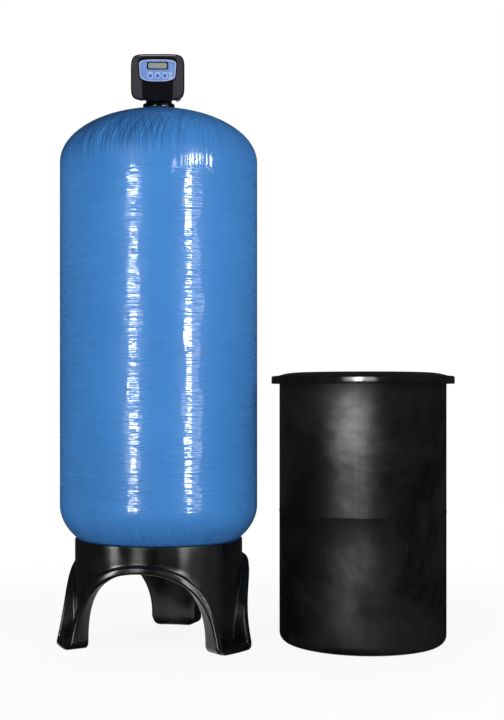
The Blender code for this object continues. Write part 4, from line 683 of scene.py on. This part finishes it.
def brine_tank():
    outer, top = brine_radius, brine_height
    inner = outer - 0.006
    profile = [(0.0, 0.0), (0.12, 0.0), (0.24, 0.0)]
    profile += quarter((outer - 0.036, 0.0), (outer, 0.036), 8, False)
    profile += [(outer, 0.2), (outer, 0.4)]
    weld = ((0.0, -0.005), (0.0009, -0.002), (0.0013, 0.0), (0.0009, 0.002), (0.0, 0.005))
    profile += [(outer + proud, weld_height + rise) for proud, rise in weld]
    profile += [(outer, 0.7), (outer, 0.9), (outer, top - 0.018)]
    profile += quarter((outer + 0.003, top - 0.012), (outer + 0.012, top - 0.006), 3, False)
    profile += [(outer + 0.012, top - 0.001), (outer + 0.011, top), (inner + 0.002, top),
                (inner, top - 0.002), (inner, 0.5), (inner, 0.030)]
    profile += quarter((inner, 0.030), (inner - 0.024, 0.006), 5)
    profile += [(0.15, 0.006), (0.0, 0.006)]
    new_piece("brine_shell", lathe(profile), brine_finish, at=brine_axis,
              stands_for=["brine_tank"])


def brine_lid():
    seat = brine_height + 0.0003
    top = seat + 0.004
    radius = 0.353
    skirt_low = top + 0.006 - 0.0302
    crown = top + 0.006 + 0.0155
    dish = 0.0145
    field, field_radius = top + 0.0070, radius - 0.026
    profile = [(brine_radius + 0.016, seat), (radius - 0.008, seat), (radius - 0.004, seat - 0.004)]
    profile += [(radius - 0.004, skirt_low + 0.001)]
    profile += quarter((radius - 0.004, skirt_low + 0.001), (radius - 0.002, skirt_low), 2)
    profile += quarter((radius - 0.002, skirt_low), (radius, skirt_low + 0.002), 3, False)
    profile += quarter((radius, top - 0.001), (radius - 0.007, top + 0.006), 5)
    profile += [(radius - 0.014, top + 0.0066), (radius - 0.022, top + 0.0064), (field_radius, field)]
    for k in range(1, 17):
        share = (k / 16) ** 2
        rise = (crown - field) * (1 - (1 - share) ** 9)
        profile.append((field_radius * (1 - share), field + rise))
    bm = lathe(profile)
    under = [(0.0, top + dish)]
    for k in range(1, 9):
        share = (1 - k / 9) ** 2
        under.append(((brine_radius - 0.010) * (1 - share), seat + dish * (1 - (1 - share) ** 9)))
    under.append((brine_radius + 0.016, seat))
    lathe(under, bm=bm)
    new_piece("brine_cover", bm, lid_finish, at=brine_axis, stands_for=["brine_lid"])


brine_tank()
brine_lid()


# The control head

cover_front = -0.130
cover_back = 0.035
cover_middle = 2.1701
cover_half_width = 0.1025
cover_half_height = 0.0889
cover_edge = 0.009
cover_bottom = cover_middle - cover_half_height
bore_height = 2.150
panel_height = 2.1936
panel_face = -0.1316
panel_back = -0.1256
key_height = 2.1736
key_radius = 0.0065
window_height = 2.2121
key_spacing = 0.0278
loop_points = 128
flange_radius = 0.062


def cover_loop(inset, y=cover_front):
    """The cover draws in towards its open back, most of all underneath."""
    share = max((y - cover_front - cover_edge) / (cover_back - cover_front - cover_edge), 0.0)
    return superellipse(cover_half_width - 0.012 * share - inset, cover_half_height - 0.025 * share - inset,
                        6.0, loop_points, (0.0, cover_middle + 0.019 * share))


def panel_loop(grow):
    """The panel's outline: sides that draw together downward, and bowed upper and lower edges."""
    points = []
    for x, z in superellipse(1.0, 1.0, 7.0, loop_points):
        wide = 0.06925 + grow + 0.00275 * z
        bow = 0.09 if z > 0 else 0.22
        points.append((x * wide, panel_height + (0.0425 + grow) * z * (1 - bow * x * x)))
    return points


def surround_loop(grow):
    """The black field that the panel sits in."""
    return [(x * (0.0735 + grow + 0.0030 * z), 2.1985 + (0.0510 + grow) * z)
            for x, z in superellipse(1.0, 1.0, 5.0, loop_points)]


def head_cover():
    wall = 0.0026
    edge = cover_edge
    soft = 0.0016
    rows = [facing(panel_loop(0.0004), cover_front + wall), facing(panel_loop(0.0004), cover_front + 0.0009)]
    rows += [facing(panel_loop(g), cover_front + d) for g, d in quarter((0.0004, 0.0009), (soft, 0.0), 3)]
    mid = [((a + c) / 2, (b + d) / 2) for (a, b), (c, d) in zip(panel_loop(0.004), cover_loop(edge))]
    rows += [facing(panel_loop(0.0035), cover_front), facing(mid, cover_front)]
    rows += [facing(cover_loop(edge + 0.002), cover_front)]
    rounded = quarter((0.0, 0.0), (edge, edge), 8, False)
    rows += [facing(cover_loop(edge - g), cover_front + d) for g, d in rounded]
    groove = -0.0620
    side = [(0.0, groove - 0.0012), (0.0007, groove - 0.0005), (0.0007, groove + 0.0005),
            (0.0, groove + 0.0012), (0.0, cover_back - 0.001), (0.0006, cover_back),
            (wall - 0.0004, cover_back), (wall, cover_back - 0.0006), (wall, cover_front + edge)]
    rows += [facing(cover_loop(i, y), y) for i, y in side]
    rows += [facing(cover_loop(wall + g), cover_front + edge - d)
             for g, d in quarter((0.0, 0.0), (edge - wall, edge - wall), 4)]
    rows.append(facing(panel_loop(0.0004), cover_front + wall))
    return new_piece("head_cover", drawn_rows(rows, closed=True), edge_finish,
                     stands_for=["front_cover"])


def cut(piece, bm_tool):
    """Take a tool's shape out of a piece, and keep the result as the piece's own mesh."""
    bmesh.ops.recalc_face_normals(bm_tool, faces=bm_tool.faces)
    tool = as_object("cutting_tool", bm_tool)
    step = piece.modifiers.new("cut", "BOOLEAN")
    step.operation = "DIFFERENCE"
    step.solver = "EXACT"
    step.object = tool
    done = bpy.data.meshes.new_from_object(piece.evaluated_get(bpy.context.evaluated_depsgraph_get()))
    piece.modifiers.clear()
    old = piece.data
    piece.data = done
    done.name = old.name
    for spent in (old, tool.data):  # the tool goes with its mesh
        bpy.data.meshes.remove(spent)
    soften(done)


def neck_cutout(piece):
    """The open bottom of the cover, where it stands round the neck and the valve."""
    reach = flange_radius + 0.0025
    arc = [math.pi + math.pi * k / 32 for k in range(33)]
    outline = [(reach * math.cos(t), reach * math.sin(t)) for t in arc]
    outline += [(reach, cover_back + 0.01), (-reach, cover_back + 0.01)]
    rows = [[tank_axis + Vector((x, y, z)) for x, y in outline] for z in (cover_bottom - 0.01, bore_height)]
    cut(piece, cap_holes(drawn_rows(rows, closed=True)))


cover = head_cover()
neck_cutout(cover)


def flat_plate(name, outline, front, back, round_edge, material, body="softener", stands_for=()):
    """A thin plate with a rounded front edge; the outline is a function of how far it is drawn in."""
    rows = [facing(outline(0.0), back), facing(outline(0.0), front + round_edge)]
    rows += [facing(outline(g), front + round_edge - d)
             for g, d in quarter((0.0, 0.0), (round_edge, round_edge), 3)][1:]
    bm = cap_holes(drawn_rows(rows, closed=True))
    return new_piece(name, bm, material, body=body, stands_for=stands_for)


def flat_ring(name, outer, inner, front, back, material, body="softener"):
    """A flat ring between two outlines, with softened front edges."""
    soft = (back - front) * 0.3
    rows = [facing(outer(0.0), back), facing(outer(0.0), front + soft), facing(outer(soft), front),
            facing(inner(-soft), front), facing(inner(0.0), front + soft), facing(inner(0.0), back),
            facing(outer(0.0), back)]
    return new_piece(name, drawn_rows(rows, closed=True), material, body=body)


def inlay_loop(inset):
    """The glossy field below the panel, down to the lower edge of the cover."""
    low = cover_bottom + 0.0045 + inset
    high = panel_height - 0.02
    wide = 0.0595 - inset
    taper = 0.0015
    return [(x * (wide - taper * (1 - z) / 2), (low + high) / 2 + z * (high - low) / 2)
            for x, z in superellipse(1.0, 1.0, 14.0, 96)]


def highlight_band_loop(inset):
    """A slim band along the top of the cover's front, painted pale as the highlight on its top edge."""
    return superellipse(0.0690 - inset, 0.0021 - inset, 5.0, 48,
                        (0.0, cover_middle + cover_half_height - 0.0078))


def screen_loop(wide, high):
    return lambda inset: superellipse(wide - inset, high - inset, 9.0, 64, (0.0, window_height))


def disc_loop(x, z, radius):
    return lambda inset: superellipse(radius - inset, radius - inset, 2.0, 48, (x, z))


def sector_loop(x, z, inner, outer, start, stop, side=1):
    """A piece of a ring about (x, z), between two radii and two angles in degrees."""
    def outline(inset):
        near, far = inner + inset, outer - inset
        slack = inset / ((inner + outer) / 2)
        low, high = math.radians(start) + slack, math.radians(stop) - slack
        turns = [low + (high - low) * k / 14 for k in range(15)]
        return ([(x + far * math.cos(t), z + side * far * math.sin(t)) for t in turns]
                + [(x + near * math.cos(t), z + side * near * math.sin(t)) for t in turns[::-1]])
    return outline


flat_ring("head_cheeks", lambda inset: cover_loop(0.0052 + inset), lambda inset: surround_loop(-inset),
          cover_front - 0.0004, cover_front + 0.0012, cover_finish)
# Painted highlight: a pale plate along the top of the cover's front, where its top edge would catch the
# light.
flat_plate("head_top_painted_highlight", highlight_band_loop, cover_front - 0.0007, cover_front + 0.0010, 0.0003, painted_highlight_finish)
flat_plate("head_inlay", inlay_loop, cover_front - 0.0009, cover_front + 0.0010, 0.0004, inlay_finish)
head_panel = flat_plate("head_panel", lambda inset: panel_loop(-inset), panel_face, panel_back, 0.0012,
                        panel_finish, stands_for=["control_panel"])
panel_rim = flat_ring("head_panel_rim", lambda inset: panel_loop(-0.0004 - inset),
                      lambda inset: panel_loop(-0.0034 - inset), panel_face - 0.0003, panel_face + 0.0012,
                      rim_finish)
flat_ring("screen_bezel", screen_loop(0.0412, 0.0150), screen_loop(0.0356, 0.0104), panel_face - 0.0004,
          panel_face + 0.0008, inlay_finish)
flat_plate("screen_face", screen_loop(0.0360, 0.0108), panel_face - 0.00005, panel_face + 0.0010, 0.0001,
           display_finish, stands_for=["display_module"])


def screen_window():
    material, tree, shader, place = new_material("window_clear")
    skin = use_group(tree, moulded_grain, Vector=place, Grain_Scale=900.0, Cloud_Scale=20.0)
    feed(tree, shader, {"Base Color": (0.75, 0.78, 0.75, 1.0), "Alpha": 0.12,
                        "Roughness": ramp(tree, skin.outputs["Cloud"], 0, 1, 0.04, 0.09)})
    flat_plate("screen_glass", screen_loop(0.0354, 0.0102), panel_face - 0.0003, panel_face - 0.0001, 0.0001,
               material, stands_for=["display_window"])


screen_window()


def round_keys():
    for place, name in enumerate(("key_left", "key_middle", "key_right")):
        x = (place - 1) * key_spacing
        flat_ring(f"{name}_ring", disc_loop(x, key_height, 0.0110), disc_loop(x, key_height, 0.0086),
                  panel_face - 0.0003, panel_face + 0.0004, pale_finish)
        flat_plate(f"{name}_mark", sector_loop(x, key_height, 0.0130, 0.0146, 42, 138), panel_face - 0.0002,
                   panel_face + 0.0004, 0.0001, pale_finish)
        profile = [(0.0, panel_face - 0.0010), (0.0035, panel_face - 0.0011), (0.0055, panel_face - 0.0012)]
        profile += quarter((0.0057, panel_face - 0.0012), (key_radius, panel_face - 0.0004), 3, False)
        profile += [(key_radius, panel_face + 0.0050), (0.0, panel_face + 0.0050)]
        new_piece(f"{name}_cap", lathe(profile, 40, (x, 0, key_height), "Y"), key_finish, body=name,
                  stands_for=[name])


def arrow_loops(side):
    """The outline of the up key (1) or the down key (-1), as a function of how far it is drawn in."""
    return sector_loop(key_spacing, key_height, 0.0165, 0.0290, 5, 38, side)


def arrow_keys():
    for name, side in (("key_up", 1), ("key_down", -1)):
        cap = arrow_loops(side)
        flat_plate(f"{name}_cap", cap, panel_face - 0.0012, panel_face + 0.0050, 0.0006, key_finish,
                   body=name, stands_for=[name])
        flat_ring(f"{name}_edge", lambda inset: cap(0.0003 + inset), lambda inset: cap(0.0030 + inset),
                  panel_face - 0.0014, panel_face - 0.0009, pale_finish, body=name)
        t = math.radians(21)
        reach = 0.0225
        at = (key_spacing + reach * math.cos(t), key_height + side * reach * math.sin(t))

        def arrow_loop(inset):
            size = 0.0030 - inset
            return [(at[0] + size * math.sin(2 * math.pi * k / 3),
                     at[1] + side * size * math.cos(2 * math.pi * k / 3)) for k in range(3)]
        flat_plate(f"{name}_arrow", arrow_loop, panel_face - 0.0014, panel_face - 0.0008, 0.0001, pale_finish,
                   body=name)


def key_holes():
    """Openings with a little room round each key, so that it can move in and out through the panel."""
    slack = 0.0003
    holes = [disc_loop(place * key_spacing, key_height, key_radius + slack)(0.0) for place in (-1, 0, 1)]
    holes += [arrow_loops(side)(-slack) for side in (1, -1)]
    for outline in holes:
        for piece in (head_panel, panel_rim) if outline is holes[-1] else (head_panel,):
            rows = [[tank_axis + Vector(point) for point in facing(outline, y)]
                    for y in (panel_face - 0.004, panel_back + 0.004)]
            cut(piece, cap_holes(drawn_rows(rows, closed=True)))


round_keys()
arrow_keys()
key_holes()


def neck_flange():
    low, high = 2.0738, 2.0925
    mid = (low + high) / 2
    outer, bore, plug = flange_radius, 0.0262, low - 0.034
    profile = [(bore, plug), (0.048, plug), (0.050, low - 0.032), (0.050, low), (outer - 0.0025, low)]
    profile += quarter((outer - 0.0025, low), (outer, low + 0.0025), 4, False)
    profile += [(outer, mid - 0.0022), (outer - 0.001, mid - 0.0012), (outer - 0.001, mid + 0.0012),
                (outer, mid + 0.0022)]
    profile += quarter((outer, high - 0.0030), (outer - 0.003, high), 4)
    profile += [(bore, high), (bore, plug)]
    new_piece("neck_flange", lathe(profile, 96), flange_finish,
              stands_for=["tank_adapter"])


neck_flange()

# Finishes of the pieces that keep their own shapes

node_finishes = {
    valve_finish: ["tank_neck_ring", "valve_body", "drive_bracket", "inlet_connector", "outlet_connector",
                   "injector_cap", "refill_cap", "drain_elbow", "brine_elbow"],
    lid_finish: ["brine_well_cap", "overflow_elbow"],
    white_finish: ["riser_tube", "distributor", "top_screen", "piston", "drive_cap", "meter_turbine",
                   "salt_grid", "brine_well", "brine_line_nut", "pickup_tube", "float", "overflow_nut"],
    nylon_finish: ["main_drive_gear", "reduction_gear", "motor_pinion", "inlet_union_nut",
                   "outlet_union_nut", "meter_cage", "drain_nut", "brine_nut", "safety_valve",
                   "brine_line_fitting", "air_check"],
    steel_finish: ["piston_rod", "drive_motor", "float_rod", *(f"bracket_screw_{k}" for k in (1, 2, 3, 4))],
    rubber_finish: ["adapter_o_ring", "seal_stack"],
    board_finish: ["circuit_board"],
    resin_finish: ["resin_bed"],
    gravel_finish: ["gravel_bed"],
}
for finish, names in node_finishes.items():
    for name in names:
        for slot in frame["nodes"][name].material_slots:
            slot.material = finish


# Camera, floor and light

photo_width, photo_height = 504, 720
focal_length = 1268.0  # in the photo's pixels, as is the place where the level line of sight meets it
sight_x, sight_y = 203.5, 390.0


def camera():
    data = bpy.data.cameras.new("photo_camera")
    data.sensor_fit = "VERTICAL"
    data.sensor_height = 36.0
    data.lens = focal_length * data.sensor_height / photo_height
    data.shift_x = (photo_width / 2 - sight_x) / photo_height
    data.shift_y = (sight_y - photo_height / 2) / photo_height
    eye = in_scene("photo_camera", data)
    eye.location = tank_axis + Vector((0.175, -4.964, 0.976))
    eye.rotation_euler = (math.pi / 2, 0, 0)
    bpy.context.scene.camera = eye


def bare_material(name):
    material = bpy.data.materials.new(name)
    material.use_nodes = True
    material.node_tree.nodes.clear()
    return material, material.node_tree


def seen_as_white(tree):
    """One where a camera, glossy or transmission ray looks, and nought elsewhere."""
    path = node(tree, "ShaderNodeLightPath").outputs
    first = maths(tree, "MAXIMUM", path["Is Camera Ray"], path["Is Glossy Ray"])
    return maths(tree, "MAXIMUM", first, path["Is Transmission Ray"])


def studio():
    world = bpy.data.worlds.new("studio")
    bpy.context.scene.world = world
    world.use_nodes = True
    tree = world.node_tree
    sky = tree.nodes["Background"]
    level = ramp(tree, seen_as_white(tree), 0.0, 1.0, 0.50, 1.0, "LINEAR")
    feed(tree, sky, {"Color": (1.0, 1.0, 1.0, 1.0), "Strength": level})

    floor_finish, tree = bare_material("studio_floor")
    place = node(tree, "ShaderNodeTexCoord").outputs["Object"]
    away = vector_maths(tree, "LENGTH", {0: place})["Value"]
    matt = node(tree, "ShaderNodeBsdfDiffuse", {"Color": (0.80, 0.80, 0.80, 1.0)})
    glow = node(tree, "ShaderNodeEmission", {"Color": (1, 1, 1, 1), "Strength": 1.0})
    share = ramp(tree, away, 1.2, 2.8, 0.90, 1.0)
    seen = times(tree, share, seen_as_white(tree))
    mixed = node(tree, "ShaderNodeMixShader", {0: seen, 1: matt.outputs[0], 2: glow.outputs[0]})
    node(tree, "ShaderNodeOutputMaterial", {"Surface": mixed.outputs[0]})
    bm = bmesh.new()
    bmesh.ops.create_grid(bm, x_segments=1, y_segments=1, size=60.0)
    floor = as_object("studio_floor", bm, floor_finish)
    floor.location = (0, 0, -0.0006)


def lit_set(name, *pieces):
    """The only pieces that a lamp lights."""
    lit = bpy.data.collections.new(name)
    for k, piece in enumerate(pieces):
        lit.objects.link(bpy.data.objects[piece])
        lit.collection_objects[k].light_linking.link_state = "INCLUDE"
    return lit


def soft_light(name, place, aim, size, power, only_gloss=False, no_gloss=False, lit=None):
    data = bpy.data.lights.new(name, "AREA")
    data.shape = "RECTANGLE"
    data.size, data.size_y = size
    data.energy = power
    lamp = in_scene(name, data)
    lamp.location = place
    way = Vector(aim) - Vector(place)
    lamp.rotation_euler = way.to_track_quat("-Z", "Y").to_euler()
    lamp.visible_camera = False
    lamp.visible_diffuse = not only_gloss
    lamp.visible_glossy = not no_gloss
    if lit:
        lamp.light_linking.receiver_collection = lit


light_distance = 3.8


def level_way(degrees):
    """The level direction at an angle to the vessels' front."""
    turn = math.radians(degrees)
    return Vector((math.sin(turn), -math.cos(turn), 0.0))


def strip_light(name, axis, degrees, width, low, high, glow, lit):
    """A strip at an angle to a vessel's front that only shows as a highlight; glow is how bright it looks."""
    middle = axis + Vector((0, 0, (low + high) / 2))
    power = 4 * width * (high - low) * glow
    soft_light(name, middle + level_way(degrees) * light_distance, middle, (width, high - low), power,
               only_gloss=True, lit=lit)


def glow_material(name, colour, strength):
    material, tree = bare_material(name)
    glow = node(tree, "ShaderNodeEmission", {"Color": (*colour, 1.0), "Strength": strength})
    node(tree, "ShaderNodeOutputMaterial", {"Surface": glow.outputs[0]})
    return material


def reflected_only(name, bm, material):
    """A piece of studio that nothing but reflections see."""
    piece = as_object(name, bm, material)
    for ray in ("camera", "diffuse", "transmission", "shadow", "volume_scatter"):
        setattr(piece, f"visible_{ray}", False)
    return piece


def curtain(name, degrees, width, low, high, glow, phase, lit):
    """A hanging strip of light whose width and middle wander a little with height, as the highlights do."""
    way = level_way(degrees)
    along = Vector((way.y, -way.x, 0.0))
    bm = bmesh.new()
    rows = []
    steps = 180
    for k in range(steps + 1):
        z = low + (high - low) * k / steps
        half = width / 2 * (1 + 0.26 * math.sin(8.3 * z + phase) + 0.20 * math.sin(19.7 * z + 2.3 * phase))
        half *= min(1.0, 0.45 + 9.0 * min(z - low, high - z))
        middle = tank_axis + way * light_distance + along * 0.035 * math.sin(6.1 * z + 1.7 * phase)
        middle.z = z
        rows.append([bm.verts.new(middle + along * side) for side in (-half, half)])
    for below, above in zip(rows, rows[1:]):
        bm.faces.new((below[0], below[1], above[1], above[0]))
    piece = reflected_only(name, bm, glow_material(name, (1.0, 1.0, 1.0), glow))
    piece.light_linking.receiver_collection = lit


def dark_cards():
    """Black studio cards all round and between the vessels, that keep the edges and the blacks deep."""
    card = glow_material("dark_card", (0.022, 0.022, 0.025), 1.0)
    bm = lathe([(0.0, 0.004), (6.0, 0.004), (6.0, 4.4), (3.6, 6.0), (0.0, 6.6)], 64)
    reflected_only("dark_card_round", bm, card)
    bm = bmesh.new()
    x = (tank_axis.x + tank_radius + brine_axis.x - brine_radius) / 2
    bm.faces.new([bm.verts.new((x, y, z)) for y, z in ((-0.42, 0.02), (0.5, 0.02), (0.5, 2.1), (-0.42, 2.1))])
    reflected_only("dark_card_between", bm, card)


def lights():
    soft_light("key_box", (-2.6, -3.6, 3.2), (0, 0, 1.0), (2.2, 2.2), 79, no_gloss=True)
    soft_light("fill_box", (3.0, -3.6, 2.4), (0, 0, 1.0), (2.4, 2.4), 103, no_gloss=True)
    soft_light("back_box", (0.5, 4.2, 3.6), (0, 0, 1.0), (3.0, 2.0), 60, no_gloss=True)
    brine = lit_set("brine_tank_only", "brine_shell")
    lid = lit_set("lid_only", "brine_cover")
    tank = lit_set("tank_only", "tank_shell", "neck_flange")
    softener = lit_set("pressure_tank_only", "tank_shell", "neck_flange", "base_skirt")
    base = lit_set("base_only", "base_skirt")
    # Each curtain's name, degrees, width, low and high ends, glow, phase and the pieces that it lights
    for row in (
            ("curtain_left", -25.6, 0.62, 0.06, 2.44, 46.0, 0.4, tank),
            ("curtain_left_soft", -25.6, 1.00, 0.06, 2.42, 5.0, 2.0, softener),
            ("curtain_right", 35.9, 0.66, 0.06, 2.44, 42.0, 3.1, tank),
            ("curtain_right_soft", 39.0, 1.25, 0.06, 2.42, 5.0, 1.2, softener)):
        curtain(*row)
    # Each strip's name, vessel, degrees, width, low and high ends, glow and the pieces that it lights
    for row in (
            ("strip_flare", tank_axis, 49.0, 2.3, 2.47, 2.57, 21.0, softener),
            ("strip_flare_soft", tank_axis, 44.0, 4.2, 2.46, 2.58, 8.0, softener),
            ("strip_base_left", tank_axis, -58.0, 0.70, 0.02, 1.30, 15.0, base),
            ("strip_base_right", tank_axis, 66.0, 0.70, 0.02, 1.30, 14.0, base),
            ("strip_base_mid_left", tank_axis, -25.6, 0.62, 0.02, 1.60, 12.0, base),
            ("strip_base_mid_right", tank_axis, 35.9, 0.66, 0.02, 1.60, 16.0, base),
            ("strip_base_front", tank_axis, 12.0, 1.60, 0.02, 1.20, 0.5, base),
            ("strip_lid", brine_axis, -12.0, 0.42, 0.62, 1.70, 24.0, lid),
            ("strip_lid_soft", brine_axis, -10.0, 2.40, 0.62, 1.70, 3.0, lid),
            ("strip_brine", brine_axis, -19.0, 1.80, 0.24, 1.66, 5.6, brine),
            ("strip_brine_soft", brine_axis, -22.0, 3.60, 0.24, 1.66, 3.6, brine)):
        strip_light(*row)
    under = tank_axis + Vector((0.06, -0.06, 0.006))
    soft_light("patch_under_tank", under, under + Vector((0, 0, 1)), (0.36, 0.50), 0.48, only_gloss=True,
               lit=base)


camera()
studio()
dark_cards()
lights()
bpy.context.scene.view_settings.view_transform = "Standard"
